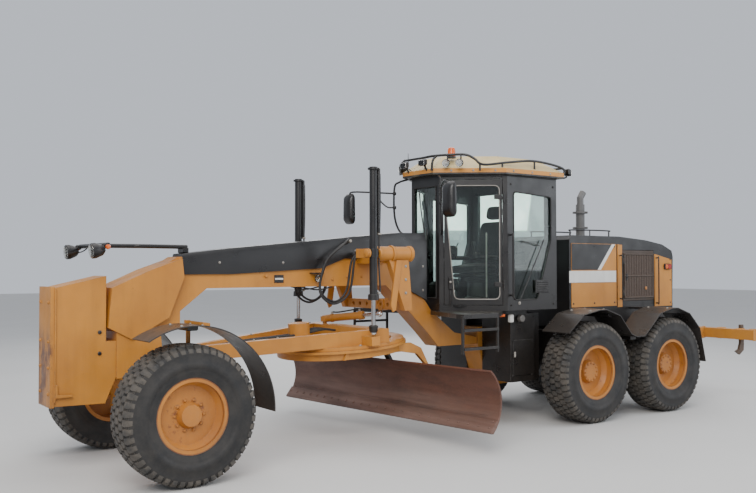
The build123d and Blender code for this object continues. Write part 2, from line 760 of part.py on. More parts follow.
# Moldboard: curved plate, cutting edge along its foot and rails along its back
ARC_U = BLADE_BACK + BLADE_T + BLADE_ARC_R
ARC_W = (BLADE_LOW + BLADE_HIGH) / 2
with BuildPart() as moldboard:
    with BuildSketch(across(hinge, BLADE_SHIFT)):
        with BuildLine():
            CenterArc((ARC_U, ARC_W), BLADE_ARC_R, 129, 98)
            CenterArc((ARC_U, ARC_W), BLADE_ARC_R + BLADE_T, 129, 98)
            for angle in (129, 227):
                c, s = cos(radians(angle)), sin(radians(angle))
                Line(
                    (ARC_U + BLADE_ARC_R * c, ARC_W + BLADE_ARC_R * s),
                    (ARC_U + (BLADE_ARC_R + BLADE_T) * c, ARC_W + (BLADE_ARC_R + BLADE_T) * s),
                )
        make_face()
        with BuildLine():
            edge_top = (ARC_U + BLADE_ARC_R * cos(radians(208)), ARC_W + BLADE_ARC_R * sin(radians(208)))
            along = (cos(radians(310)), sin(radians(310)))
            front = (cos(radians(40)), sin(radians(40)))
            Polyline(
                (edge_top[0] - 9 * front[0], edge_top[1] - 9 * front[1]),
                (edge_top[0] + EDGE_T * front[0], edge_top[1] + EDGE_T * front[1]),
                (edge_top[0] + EDGE_H * along[0] + EDGE_T * front[0],
                 edge_top[1] + EDGE_H * along[1] + EDGE_T * front[1]),
                (edge_top[0] + EDGE_H * along[0] - 9 * front[0],
                 edge_top[1] + EDGE_H * along[1] - 9 * front[1]),
                close=True,
            )
        make_face()
    extrude(amount=BLADE_L / 2, both=True)
    for rail_w, _ in RAILS:
        with BuildSketch(across(hinge, BLADE_SHIFT)):
            with Locations((RAIL_BACK + RAIL_HEAD / 2, rail_w)):
                Rectangle(RAIL_HEAD, RAIL_W)
            with Locations((RAIL_BACK + 58, rail_w)):
                Rectangle(116, RAIL_NECK)
        extrude(amount=BLADE_L / 2 - 150, both=True)
pieces["moldboard"] = moldboard

# Cylinders


def lift_barrel(side):
    place = (back(LIFT_BACK), side * LIFT_Y)
    with BuildPart() as piece:
        with BuildSketch(Plane.XY.offset(LIFT_BARREL_LOW_Z)):
            with Locations(place):
                Circle(BARREL_R)
        extrude(amount=LIFT_TOP_Z - LIFT_BARREL_LOW_Z)
        with BuildSketch(Plane.XY.offset(LIFT_BARREL_LOW_Z)):
            with Locations(place):
                Circle(BARREL_R + 9)
        extrude(amount=GLAND_T)
        with BuildSketch(Plane.XY.offset(TRUNNION_Z - 45)):
            with Locations(place):
                Circle(TRUNNION_R)
        extrude(amount=90)
        with BuildSketch(Plane.YZ.offset(back(LIFT_BACK))):
            with Locations((side * LIFT_Y, TRUNNION_Z)):
                Circle(TRUNNION_PIN_R)
        extrude(amount=TRUNNION_R + 6 + FORK_T, both=True)
        with BuildSketch(Plane.XY.offset(LIFT_BARREL_LOW_Z + GLAND_T)):
            with Locations(place):
                Circle(BARREL_BORE_R)
        extrude(amount=LIFT_TOP_Z - LIFT_BARREL_LOW_Z - GLAND_T - 60, mode=Mode.SUBTRACT)
        with BuildSketch(Plane.XY.offset(LIFT_BARREL_LOW_Z)):
            with Locations(place):
                Circle(ROD_R + RUNNING_GAP)
        extrude(amount=GLAND_T, mode=Mode.SUBTRACT)
    return piece


def lift_rod(side):
    place = (back(LIFT_BACK), side * LIFT_Y)
    with BuildPart() as piece:
        with BuildSketch(Plane.XY.offset(LIFT_EYE_Z)):
            with Locations(place):
                Circle(ROD_R)
        extrude(amount=LIFT_ROD_TOP_Z - LIFT_EYE_Z)
        with BuildSketch(Plane.XY.offset(LIFT_ROD_TOP_Z - 60)):
            with Locations(place):
                Circle(BARREL_BORE_R - RUNNING_GAP)
        extrude(amount=60)
        with Locations((*place, LIFT_EYE_Z)):
            Sphere(LIFT_EYE_R)
    return piece


for hand, side in (("left", 1), ("right", -1)):
    pieces[f"lift_barrel_{hand}"] = lift_barrel(side)
    pieces[f"lift_rod_{hand}"] = lift_rod(side)

shift_start = draw.from_local_coords(SHIFT_START)
shift_end = draw.from_local_coords(SHIFT_END)
shift_line = (shift_end - shift_start).normalized()
with BuildPart() as shift_barrel:
    with BuildSketch(draw.offset(SHIFT_START[2] - 32)):
        with Locations(SHIFT_START[:2]):
            Circle(48)
    extrude(amount=64)
    with BuildSketch(Plane(shift_start, z_dir=shift_line)):
        Circle(44)
    extrude(amount=490)
    with BuildSketch(Plane(shift_start + shift_line * 75, z_dir=shift_line)):
        Circle(ROD_R + RUNNING_GAP)
    extrude(amount=430, mode=Mode.SUBTRACT)
    with BuildSketch(draw.offset(SHIFT_START[2] - 80)):
        with Locations(SHIFT_START[:2]):
            Circle(24 + RUNNING_GAP)
    extrude(amount=200, mode=Mode.SUBTRACT)
pieces["shift_barrel"] = shift_barrel

with BuildPart() as shift_rod:
    with BuildSketch(Plane(shift_start + shift_line * 255, z_dir=shift_line)):
        Circle(ROD_R)
    extrude(amount=(shift_end - shift_start).length - 255)
    with Locations(shift_end):
        Sphere(36)
pieces["shift_rod"] = shift_rod

tip_top = ring.from_local_coords((-700, 0, -205))
tip_eye = hinge.from_local_coords((-150, 0, 50))
tip_line = (tip_eye - tip_top).normalized()
with BuildPart() as tip_barrel:
    with BuildSketch(Plane(tip_top, z_dir=tip_line)):
        Circle(38)
    extrude(amount=270)
    with BuildSketch(Plane(tip_top + tip_line * 130, z_dir=tip_line)):
        Circle(20 + RUNNING_GAP)
    extrude(amount=200, mode=Mode.SUBTRACT)
    with BuildSketch(across(ring, 0)):
        with BuildLine():
            Polyline((-660, -178), (-738, -178), (-730, -230), (-670, -230), close=True)
        make_face()
    extrude(amount=25, both=True)
pieces["tip_barrel"] = tip_barrel
with BuildPart() as tip_rod:
    with BuildSketch(Plane(tip_top + tip_line * 238, z_dir=tip_line)):
        Circle(20)
    extrude(amount=(tip_eye - tip_top).length - 238)
    with Locations(tip_eye):
        Sphere(27.5)
pieces["tip_rod"] = tip_rod

# Cab shell: floor, posts, rear wall and roof frame, open at both doors and at its windows
CAB_PLAN = [
    (CAB_FRONT_BACK, CAB_FRONT_HALF), (CAB_POST_BACK, CAB_HALF), (CAB_REAR_BACK, CAB_HALF),
    (CAB_REAR_BACK, -CAB_HALF), (CAB_POST_BACK, -CAB_HALF), (CAB_FRONT_BACK, -CAB_FRONT_HALF),
]
DOOR_RUN = ((CAB_POST_BACK - CAB_FRONT_BACK) ** 2 + (CAB_HALF - CAB_FRONT_HALF) ** 2) ** 0.5
DOOR_WINDOW = [
    (PANE_REAR, PANE_LOW_Z), (PANE_REAR, WINDOW_HIGH_Z), (DOOR_RUN - PANE_FRONT, WINDOW_HIGH_Z),
    (DOOR_RUN - PANE_FRONT, PANE_SLANT_Z), (DOOR_RUN - PANE_FRONT - PANE_SLANT, PANE_LOW_Z),
]


def door_plane(side, z):
    """Plane of a doorway, from the hinge post forward and up, facing to the right of the machine."""
    along = Vector(CAB_POST_BACK - CAB_FRONT_BACK, -side * (CAB_HALF - CAB_FRONT_HALF), 0).normalized()
    return Plane((back(CAB_POST_BACK), side * CAB_HALF, z), x_dir=along, z_dir=along.cross(Vector(0, 0, 1)))


def door_hinge(side, z):
    """Plane at a cab door's hinge axis, forward along the door and outward to its left or right."""
    along = door_plane(side, z).x_dir
    out = Vector(0, 0, side).cross(along)
    spot = door_plane(side, z).origin + along * HINGE_ALONG + out * HINGE_OUT
    return Plane(spot, x_dir=along, z_dir=(0, 0, 1))


with BuildPart() as cab_frame:
    with BuildSketch(Plane.XY.offset(CAB_FLOOR_Z)):
        with BuildLine():
            Polyline(*[(back(d), y) for d, y in CAB_PLAN], close=True)
        make_face()
    extrude(amount=CAB_TOP_Z - CAB_FLOOR_Z)
    with BuildSketch(Plane.XY.offset(CAB_INNER_FLOOR)):
        with BuildLine():
            Polyline(*[(back(d), y) for d, y in CAB_PLAN], close=True)
        make_face()
        offset(amount=-CAB_WALL, kind=Kind.INTERSECTION)
    extrude(amount=CAB_TOP_Z - CAB_INNER_FLOOR, mode=Mode.SUBTRACT)
    for side in (1, -1):
        with BuildSketch(door_plane(side, 0)):
            with Locations((DOOR_RUN / 2, (DOOR_LOW_Z + DOOR_HIGH_Z) / 2)):
                Rectangle(DOOR_RUN - 2 * POST_W, DOOR_HIGH_Z - DOOR_LOW_Z)
        extrude(amount=120, both=True, mode=Mode.SUBTRACT)
    with BuildSketch(Plane.XZ):
        with BuildLine():
            Polyline(*beam_side(SIDE_WINDOW), close=True)
        make_face()
    extrude(amount=CAB_HALF + 10, both=True, mode=Mode.SUBTRACT)
    with BuildSketch(crosswise(CAB_FRONT_BACK)):
        with Locations((0, (WINDSHIELD_LOW_Z + WINDOW_HIGH_Z) / 2)):
            Rectangle(2 * WINDSHIELD_HALF, WINDOW_HIGH_Z - WINDSHIELD_LOW_Z)
    extrude(amount=80, both=True, mode=Mode.SUBTRACT)
    with BuildSketch(crosswise(CAB_REAR_BACK)):
        with Locations((0, (REAR_WINDOW_LOW_Z + WINDOW_HIGH_Z) / 2)):
            Rectangle(2 * REAR_WINDOW_HALF, WINDOW_HIGH_Z - REAR_WINDOW_LOW_Z)
    extrude(amount=80, both=True, mode=Mode.SUBTRACT)
    for side in (1, -1):
        for z in DOOR_HINGE_Z:
            for level in (z - LEAF_H - JOINT_GAP, z + LEAF_H + JOINT_GAP):
                with BuildSketch(door_hinge(side, level)):
                    Circle(HINGE_EYE_R)
                    with Locations((-HINGE_EYE_R / 2, -side * HINGE_OUT / 2)):
                        Rectangle(HINGE_EYE_R, HINGE_OUT)
                    Circle(HINGE_PIN + RUNNING_GAP, mode=Mode.SUBTRACT)
                extrude(amount=LEAF_H)
pieces["cab_frame"] = cab_frame

# Fixed panes of the cab
with BuildPart() as cab_glass:
    for side in (1, -1):
        with BuildSketch(upright(side * (CAB_HALF - 20))):
            with BuildLine():
                Polyline(*beam_side(SIDE_WINDOW), close=True)
            make_face()
        extrude(amount=GLASS_T / 2, both=True)
    with BuildSketch(crosswise(CAB_FRONT_BACK + 20)):
        with Locations((0, (WINDSHIELD_LOW_Z + WINDOW_HIGH_Z) / 2)):
            Rectangle(2 * WINDSHIELD_HALF, WINDOW_HIGH_Z - WINDSHIELD_LOW_Z)
    extrude(amount=GLASS_T / 2, both=True)
    with BuildSketch(crosswise(CAB_REAR_BACK - 20)):
        with Locations((0, (REAR_WINDOW_LOW_Z + WINDOW_HIGH_Z) / 2)):
            Rectangle(2 * REAR_WINDOW_HALF, WINDOW_HIGH_Z - REAR_WINDOW_LOW_Z)
    extrude(amount=GLASS_T / 2, both=True)
pieces["cab_glass"] = cab_glass

# Roof, domed over the cab with an overhang all round
ROOF_PLAN = [
    (3480, 300), (4180, 840), (5190, 840), (5190, -840), (4180, -840), (3480, -300),
]
with BuildPart() as cab_roof:
    with BuildSketch(Plane.XY.offset(CAB_TOP_Z)):
        with BuildLine():
            Polyline(*[(back(d), y) for d, y in ROOF_PLAN], close=True)
        make_face()
    extrude(amount=70)
    extrude(faces().sort_by(Axis.Z)[-1], amount=ROOF_TOP_Z - CAB_TOP_Z - 70, taper=56)
pieces["cab_roof"] = cab_roof


def cab_door(side):
    with BuildPart() as piece:
        with BuildSketch(door_plane(side, 0)):
            with Locations((DOOR_RUN / 2, (DOOR_LOW_Z + DOOR_HIGH_Z) / 2)):
                Rectangle(DOOR_RUN - 2 * POST_W - 2 * DOOR_GAP, DOOR_HIGH_Z - DOOR_LOW_Z - 2 * DOOR_GAP)
        extrude(amount=side * DOOR_T)
        with BuildSketch(door_plane(side, 0)):
            with BuildLine():
                Polyline(*DOOR_WINDOW, close=True)
            make_face()
        extrude(amount=side * DOOR_T, mode=Mode.SUBTRACT)
        for z in DOOR_HINGE_Z:
            with BuildSketch(door_hinge(side, z)):
                Circle(HINGE_EYE_R)
                with Locations((35, -side * (HINGE_OUT / 2 + 1))):
                    Rectangle(70, HINGE_OUT - 2)
            extrude(amount=LEAF_H)
            with BuildSketch(door_hinge(side, z - LEAF_H - JOINT_GAP)):
                Circle(HINGE_PIN)
            extrude(amount=3 * LEAF_H + 2 * JOINT_GAP)
    return piece


def door_glass(side):
    with BuildPart() as piece:
        with BuildSketch(door_plane(side, 0).offset(side * DOOR_T / 2)):
            with BuildLine():
                Polyline(*DOOR_WINDOW, close=True)
            make_face()
        extrude(amount=GLASS_T / 2, both=True)
    return piece


for hand, side in (("left", 1), ("right", -1)):
    pieces[f"cab_door_{hand}"] = cab_door(side)
    pieces[f"door_glass_{hand}"] = door_glass(side)

# Seat and control column inside the cab
with BuildPart() as cab_interior:
    with BuildSketch(Plane.XY.offset(CAB_INNER_FLOOR)):
        with Locations((back(4640), 0)):
            Rectangle(300, 300)
    extrude(amount=330)
    with BuildSketch(Plane.XY.offset(CAB_INNER_FLOOR + 330)):
        with Locations((back(4620), 0)):
            Rectangle(480, 500)
    extrude(amount=110)
    with BuildSketch(Plane.XZ):
        with BuildLine():
            Polyline(
                *beam_side([(4800, 1840), (4900, 1840), (4960, 2480), (4880, 2480)]), close=True
            )
        make_face()
    extrude(amount=240, both=True)
    with BuildSketch(Plane.XZ):
        with BuildLine():
            Polyline(
                *beam_side([(3720, 1460), (3920, 1460), (4000, 2080), (3900, 2110), (3820, 2060)]),
                close=True,
            )
        make_face()
    extrude(amount=90, both=True)
pieces["cab_interior"] = cab_interior

# Rail and lamps round the roof, and the two mirrors on their tubes
with BuildPart() as roof_rail:
    for side in (1, -1):
        for d in (4300, 5100):
            add(bar((back(d), side * 841, 3100), (back(d), side * 884, 3100), 12))
            add(bar((back(d), side * 880, 3092), (back(d), side * 880, 3225), 12))
    with BuildLine() as rail_line:
        Polyline(
            *[(back(d), y, z) for d, y, z in (
                (5230, 880, 3225), (4180, 880, 3225), (3430, 200, 3225), (3430, -200, 3225),
                (4180, -880, 3225), (5230, -880, 3225))]
        )
    with BuildSketch(Plane(rail_line.line @ 0, z_dir=rail_line.line % 0)):
        Circle(16)
    sweep(path=rail_line.line, transition=Transition.RIGHT)
pieces["roof_rail"] = roof_rail

with BuildPart() as mirrors:
    for side in (1, -1):
        for z, r in ((2880, 15), (2560, 12)):
            add(bar((back(CAB_FRONT_BACK - 20), side * 245, z), (back(3180), side * 1010, z), r))
            with BuildSketch(crosswise(CAB_FRONT_BACK)):
                with Locations((side * 243, z)):
                    Rectangle(50, 70)
            extrude(amount=28)
        add(bar((back(3180), side * 1010, 2500), (back(3180), side * 1010, 2940), 15))
        with BuildSketch(Plane.XY.offset(2520)):
            with Locations((back(3145), side * 1010)):
                Rectangle(50, 190)
        extrude(amount=370)
pieces["mirrors"] = mirrors

# Platform, boxes and ladders under the cab
with BuildPart() as cab_steps:
    for side in (1, -1):
        with BuildSketch(Plane.XY.offset(CAB_FLOOR_Z - 50)):
            with BuildLine():
                Polyline(
                    *[(back(d), side * y) for d, y in (
                        (3560, 150), (3270, 960), (3270, 1090), (3800, 1090), (4250, 700), (4350, 655),
                        (4700, 655), (4700, 150))],
                    close=True,
                )
            make_face()
        extrude(amount=50)
        with BuildSketch(Plane.XY.offset(520)):
            with BuildLine():
                Polyline(
                    *[(back(d), side * y) for d, y in (
                        (4410, 150), (4410, 660), (4825, 660), (4825, 588), (4980, 588), (4980, 150))],
                    close=True,
                )
            make_face()
        extrude(amount=CAB_FLOOR_Z - 50 - 520)
        for d in (LADDER_FRONT_BACK, LADDER_FRONT_BACK + LADDER_W):
            top = CAB_FLOOR_Z - 20
            add(bar((back(d), side * LADDER_Y, LADDER_LOW_Z), (back(d), side * LADDER_Y, top), 18))
        for z in (LADDER_LOW_Z + 40, LADDER_LOW_Z + 250):
            with BuildSketch(Plane.XY.offset(z)):
                with Locations((back(LADDER_FRONT_BACK + LADDER_W / 2), side * LADDER_Y)):
                    Rectangle(LADDER_W, 60)
            extrude(amount=30)
pieces["cab_steps"] = cab_steps

# Rear frame: nose with the hitch eye, two rails, cross members and the ripper carrier
with BuildPart() as rear_frame:
    with BuildSketch(Plane.XZ):
        with BuildLine():
            Polyline(
                *beam_side([
                    (HITCH_BACK, 490), (HITCH_BACK, 1120), (RAIL_FRONT_BACK + 100, 1120),
                    (RAIL_FRONT_BACK + 100, 560), (RAIL_FRONT_BACK - 200, 490)]),
                close=True,
            )
        make_face()
    extrude(amount=110, both=True)
    with BuildSketch(Plane.XY.offset(490)):
        with Locations((back(HITCH_BACK), 0)):
            Circle(110)
    extrude(amount=630)
    with BuildSketch(Plane.XY.offset(430)):
        with Locations((back(HITCH_BACK), 0)):
            Circle(HITCH_PIN_R + RUNNING_GAP)
    extrude(amount=750, mode=Mode.SUBTRACT)
    with BuildSketch(Plane.XY.offset(760)):
        with Locations((back(RAIL_FRONT_BACK + 70), 0)):
            Rectangle(140, 2 * RAIL_Y + 90)
    extrude(amount=340)
    for side in (1, -1):
        with BuildSketch(Plane.XY.offset(800)):
            with Locations((back((RAIL_FRONT_BACK + RAIL_REAR_BACK) / 2), side * RAIL_Y)):
                Rectangle(RAIL_REAR_BACK - RAIL_FRONT_BACK, 90)
        extrude(amount=300)
        with BuildSketch(Plane.XY.offset(HOOD_LOW_Z - 50)):
            ledge = HOOD_REAR_BACK - HOOD_WALL - HOOD_FRONT_BACK
            with Locations((back(HOOD_FRONT_BACK + ledge / 2), side * (RAIL_Y + HOOD_HALF) / 2)):
                Rectangle(ledge, HOOD_HALF - RAIL_Y)
        extrude(amount=50)
        with BuildSketch(Plane.XY.offset(FENDER_DIP_Z - FENDER_T - 45)):
            with Locations((back(WHEELBASE + 22), side * (RAIL_Y + FENDER_STRAP_Y) / 2)):
                Rectangle(110, FENDER_STRAP_Y - RAIL_Y)
        extrude(amount=45)
    with BuildSketch(Plane.XY.offset(640)):
        with Locations((back(RAIL_REAR_BACK + 30), 0)):
            Rectangle(160, 1080)
    extrude(amount=500)
    for y in (-RIPPER_LUG_Y - 40, -RIPPER_LUG_Y + 40, RIPPER_LUG_Y - 40, RIPPER_LUG_Y + 40):
        with BuildSketch(upright(y)):
            with Locations((back(RIPPER_PIVOT_BACK - 40), RIPPER_PIVOT_Z)):
                Rectangle(80, 110)
            with Locations((back(RIPPER_PIVOT_BACK), RIPPER_PIVOT_Z)):
                Circle(55)
                Circle(RIPPER_PIN_R + RUNNING_GAP, mode=Mode.SUBTRACT)
        extrude(amount=12, both=True)
    with BuildSketch(Plane.XY.offset(700)):
        with Locations((back(RIPPER_PIVOT_BACK - 30), 0)):
            Rectangle(120, 130)
        with Locations((back(RIPPER_PIVOT_BACK + 30), 0)):
            Circle(65)
            Circle(TOW_R, mode=Mode.SUBTRACT)
    extrude(amount=50)
pieces["rear_frame"] = rear_frame

# Tandem cases with their cross axle and the wheel stubs
with BuildPart() as tandem_cases:
    for side in (1, -1):
        with BuildSketch(upright(side * (TANDEM_Y - TANDEM_W / 2))):
            with Locations((back(WHEELBASE), TYRE_R)):
                SlotCenterToCenter(TANDEM_SPACING, TANDEM_H)
        extrude(amount=-side * TANDEM_W)
        for d in REAR_AXLES:
            with BuildSketch(upright(side * TANDEM_Y)):
                with Locations((back(d), TYRE_R)):
                    Circle(SPINDLE_R)
            extrude(amount=-side * (WHEEL_Y + REAR_CAP_OUT - CAP_T - JOINT_GAP - TANDEM_Y))
            with BuildSketch(upright(side * TANDEM_Y)):
                with Locations((back(d), TYRE_R)):
                    Circle(135)
            extrude(amount=-side * (WHEEL_Y + REAR_DISC_OUT - DISC_T / 2 - HUB_DEPTH - JOINT_GAP - TANDEM_Y))
    with BuildSketch(upright(-TANDEM_Y + TANDEM_W / 2)):
        with Locations((back(WHEELBASE), 640)):
            Circle(130)
    extrude(amount=-2 * TANDEM_Y + TANDEM_W)
pieces["tandem_cases"] = tandem_cases

# Rear fenders over both pairs of tandem wheels
FENDER_SIDE = [
    (WHEELBASE + d, z) for d, z in (
        (-1333, 1150), (-1063, 1360), (-763, 1412), (-643, 1412), (-383, 1330),
        (-163, 1090), (-63, FENDER_DIP_Z), (107, FENDER_DIP_Z), (207, 1130), (437, 1330),
        (697, 1392), (817, 1392), (1077, 1310), (1307, 1100), (1437, 640))
]


def fender_under(d):
    """Height of a rear fender's underside, d behind the front axle."""
    for (d0, z0), (d1, z1) in zip(FENDER_SIDE, FENDER_SIDE[1:]):
        if d0 <= d + FENDER_LEAN < d1:
            return z0 + (d + FENDER_LEAN - d0) / (d1 - d0) * (z1 - z0) - FENDER_T


with BuildPart() as rear_fenders:
    for side in (1, -1):
        with BuildSketch(upright(side * FENDER_REAR_IN_Y)):
            with BuildLine():
                under = [(d - FENDER_LEAN, z - FENDER_T) for d, z in FENDER_SIDE[::-1]]
                Polyline(*beam_side(FENDER_SIDE + under), close=True)
            make_face()
        extrude(amount=-side * (FENDER_REAR_OUT_Y - FENDER_REAR_IN_Y))
pieces["rear_fenders"] = rear_fenders

# Hood: black top, front bulkhead and the fixed side panels, open below


def grille_hinge(side, forward=0, y=0):
    """Place of a grille door's hinge axis seen from above, or a place beside it."""
    return (back(GRILLE_FRONT - 4) + forward, side * (HOOD_HALF + HINGE_SIDE_OUT) + y)


HOOD_SIDE = [
    (HOOD_FRONT_BACK, HOOD_LOW_Z), (HOOD_FRONT_BACK, HOOD_TOP_Z), (HOOD_REAR_BACK - 1230, HOOD_TOP_Z),
    (HOOD_REAR_BACK - 650, 2325), (HOOD_REAR_BACK - 260, 2270), (HOOD_REAR_BACK - 30, 2180),
    (HOOD_REAR_BACK, 2090), (HOOD_REAR_BACK - 30, HOOD_LOW_Z),
]
with BuildPart() as hood:
    with BuildSketch(Plane.XZ):
        with BuildLine():
            Polyline(*beam_side(HOOD_SIDE), close=True)
        make_face()
    extrude(amount=HOOD_HALF, both=True)
    chamfer(edges().filter_by(Axis.X, 20).group_by(Axis.Z)[-1], 60)
    with BuildSketch(Plane.XZ):
        with BuildLine():
            Polyline(*beam_side(HOOD_SIDE), close=True)
        make_face()
        offset(amount=-HOOD_WALL, kind=Kind.INTERSECTION)
        with Locations((back((HOOD_FRONT_BACK + HOOD_REAR_BACK - HOOD_WALL) / 2), HOOD_LOW_Z)):
            Rectangle(HOOD_REAR_BACK - HOOD_FRONT_BACK - 3 * HOOD_WALL, 200)
    extrude(amount=HOOD_HALF - HOOD_WALL, both=True, mode=Mode.SUBTRACT)
    with BuildSketch(Plane.XZ):
        with Locations((back((GRILLE_FRONT + GRILLE_REAR) / 2), (GRILLE_LOW + GRILLE_HIGH) / 2)):
            Rectangle(GRILLE_REAR - GRILLE_FRONT, GRILLE_HIGH - GRILLE_LOW)
    extrude(amount=HOOD_HALF + 10, both=True, mode=Mode.SUBTRACT)
    for side in (1, -1):
        for z in GRILLE_HINGE_Z:
            for level in (z - LEAF_H - JOINT_GAP, z + LEAF_H + JOINT_GAP):
                with BuildSketch(Plane.XY.offset(level)):
                    with Locations(grille_hinge(side)):
                        Circle(HINGE_EYE_R)
                    with Locations(grille_hinge(side, HINGE_EYE_R / 2, -side * HINGE_SIDE_OUT / 2)):
                        Rectangle(HINGE_EYE_R, HINGE_SIDE_OUT)
                    with Locations(grille_hinge(side)):
                        Circle(HINGE_PIN + RUNNING_GAP, mode=Mode.SUBTRACT)
                extrude(amount=LEAF_H)
        for front, rear in FENDER_STRAPS:
            with BuildSketch(upright(side * (HOOD_HALF - HOOD_WALL / 2))):
                with BuildLine():
                    tops = [(d, fender_under(d)) for d in (front, rear)]
                    Polyline(*beam_side(tops + [(d, z - FENDER_STRAP_H) for d, z in tops[::-1]]), close=True)
                make_face()
            extrude(amount=-side * (FENDER_STRAP_Y - HOOD_HALF + HOOD_WALL / 2))
pieces["hood"] = hood


def grille_door(side):
    with BuildPart() as piece:
        with BuildSketch(upright(side * (HOOD_HALF - HOOD_WALL))):
            with Locations((back((GRILLE_FRONT + GRILLE_REAR) / 2), (GRILLE_LOW + GRILLE_HIGH) / 2)):
                Rectangle(GRILLE_REAR - GRILLE_FRONT - 2 * DOOR_GAP, GRILLE_HIGH - GRILLE_LOW - 2 * DOOR_GAP)
        extrude(amount=-side * HOOD_WALL)
        for z in GRILLE_HINGE_Z:
            with BuildSketch(Plane.XY.offset(z)):
                with Locations(grille_hinge(side)):
                    Circle(HINGE_EYE_R)
                with Locations(grille_hinge(side, -30, -side * (HINGE_SIDE_OUT / 2 + 1))):
                    Rectangle(60, HINGE_SIDE_OUT - 2)
            extrude(amount=LEAF_H)
            with BuildSketch(Plane.XY.offset(z - LEAF_H - JOINT_GAP)):
                with Locations(grille_hinge(side)):
                    Circle(HINGE_PIN)
            extrude(amount=3 * LEAF_H + 2 * JOINT_GAP)
    return piece


for hand, side in (("left", 1), ("right", -1)):
    pieces[f"grille_door_{hand}"] = grille_door(side)

# Engine inside the hood, as one block
with BuildPart() as engine:
    with BuildSketch(Plane.XY.offset(1000)):
        with Locations((back(ENGINE_BACK), 0)):
            Rectangle(1250, 600)
    extrude(amount=1000)
    for d in (ENGINE_BACK - ENGINE_FEET / 2, ENGINE_BACK + ENGINE_FEET / 2):
        with BuildSketch(Plane.XY.offset(1020)):
            with Locations((back(d), 0)):
                Rectangle(100, 2 * (RAIL_Y - 45))
        extrude(amount=50)
pieces["engine"] = engine

# Exhaust pipe through the top of the hood
with BuildPart() as exhaust:
    with BuildSketch(Plane.XY.offset(HOOD_TOP_Z)):
        with Locations((back(EXHAUST_BACK), 0)):
            Circle(100)
    extrude(amount=25)
    with BuildSketch(Plane.XY.offset(HOOD_TOP_Z)):
        with Locations((back(EXHAUST_BACK), 0)):
            Circle(62)
    extrude(amount=470)
    with BuildLine() as stack:
        Polyline((back(EXHAUST_BACK), 0, HOOD_TOP_Z + 400), (back(EXHAUST_BACK), 0, 2930),
                 (back(EXHAUST_BACK + 60), 0, 3010))
    with BuildSketch(Plane(stack.line @ 0, z_dir=stack.line % 0)):
        Circle(48)
    sweep(path=stack.line, transition=Transition.ROUND)
    with BuildSketch(Plane(stack.line @ 1, z_dir=stack.line % 1)):
        Circle(42)
    extrude(amount=-90, mode=Mode.SUBTRACT)
pieces["exhaust"] = exhaust

# Ripper: beam on two lugs, and one shank in its holder
with BuildPart() as ripper:
    for side in (1, -1):
        with BuildSketch(upright(side * RIPPER_LUG_Y)):
            with BuildLine():
                lug = ((-30, 850), (50, 930), (530, 1010), (530, 830), (30, 790))
                Polyline(*beam_side([(RIPPER_PIVOT_BACK + d, z) for d, z in lug]), close=True)
            make_face()
            with Locations((back(RIPPER_PIVOT_BACK), RIPPER_PIVOT_Z)):
                Circle(48)
        extrude(amount=22, both=True)
        with BuildSketch(upright(side * RIPPER_LUG_Y)):
            with Locations((back(RIPPER_PIVOT_BACK), RIPPER_PIVOT_Z)):
                Circle(RIPPER_PIN_R)
        extrude(amount=56, both=True)
    with BuildSketch(Plane.XY.offset(840)):
        with Locations((back(RIPPER_PIVOT_BACK + 570), 0)):
            Rectangle(150, 2300)
    extrude(amount=150)
    with BuildSketch(upright(-533)):
        with BuildLine():
            shank = ((630, 1060), (630, 720), (720, 640), (710, 1060))
            Polyline(*beam_side([(RIPPER_PIVOT_BACK + d, z) for d, z in shank]), close=True)
        make_face()
    extrude(amount=32, both=True)
pieces["ripper"] = ripper

for label, piece in pieces.items():
    piece.part.label = label
    export_step(piece.part, f"parts/{label}.step")
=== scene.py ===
import bmesh
import bpy
import json
import math
from mathutils import Matrix, Vector
from mathutils.bvhtree import BVHTree


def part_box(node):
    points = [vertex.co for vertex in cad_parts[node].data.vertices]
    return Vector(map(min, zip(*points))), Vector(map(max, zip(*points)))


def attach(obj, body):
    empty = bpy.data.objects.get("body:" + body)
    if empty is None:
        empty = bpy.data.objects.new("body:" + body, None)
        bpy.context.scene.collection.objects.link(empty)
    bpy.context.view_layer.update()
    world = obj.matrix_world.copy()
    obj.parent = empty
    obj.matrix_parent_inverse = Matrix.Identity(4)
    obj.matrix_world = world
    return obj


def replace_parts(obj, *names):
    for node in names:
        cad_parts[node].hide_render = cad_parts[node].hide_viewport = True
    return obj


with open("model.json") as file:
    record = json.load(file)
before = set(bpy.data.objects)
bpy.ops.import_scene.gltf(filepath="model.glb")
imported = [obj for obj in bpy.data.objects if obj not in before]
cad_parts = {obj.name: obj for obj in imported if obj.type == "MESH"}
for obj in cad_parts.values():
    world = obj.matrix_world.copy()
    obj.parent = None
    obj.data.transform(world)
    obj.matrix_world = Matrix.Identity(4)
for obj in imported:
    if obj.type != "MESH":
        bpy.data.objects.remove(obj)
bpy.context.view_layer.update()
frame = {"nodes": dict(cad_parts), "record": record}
NODES = frame["nodes"]
BOTH = (1, -1)
SIDES = (("left", 1), ("right", -1))
X, Y, Z = Vector((1, 0, 0)), Vector((0, 1, 0)), Vector((0, 0, 1))

# Camera at the photograph's viewing angle
PICTURE_W = 756
SENSOR_W = 36
SIGHT = 200
FOCAL_PIXELS = 863.08
CAMERA_PLACE = (7.2637, 8.3375, 1.9384)
CAMERA_RIGHT = Vector((-0.81072, 0.58544, -0.00121))
CAMERA_UP = Vector((0.01315, 0.02028, 0.99971))
CAMERA_BACK = Vector((0.58529, 0.81046, -0.02414))


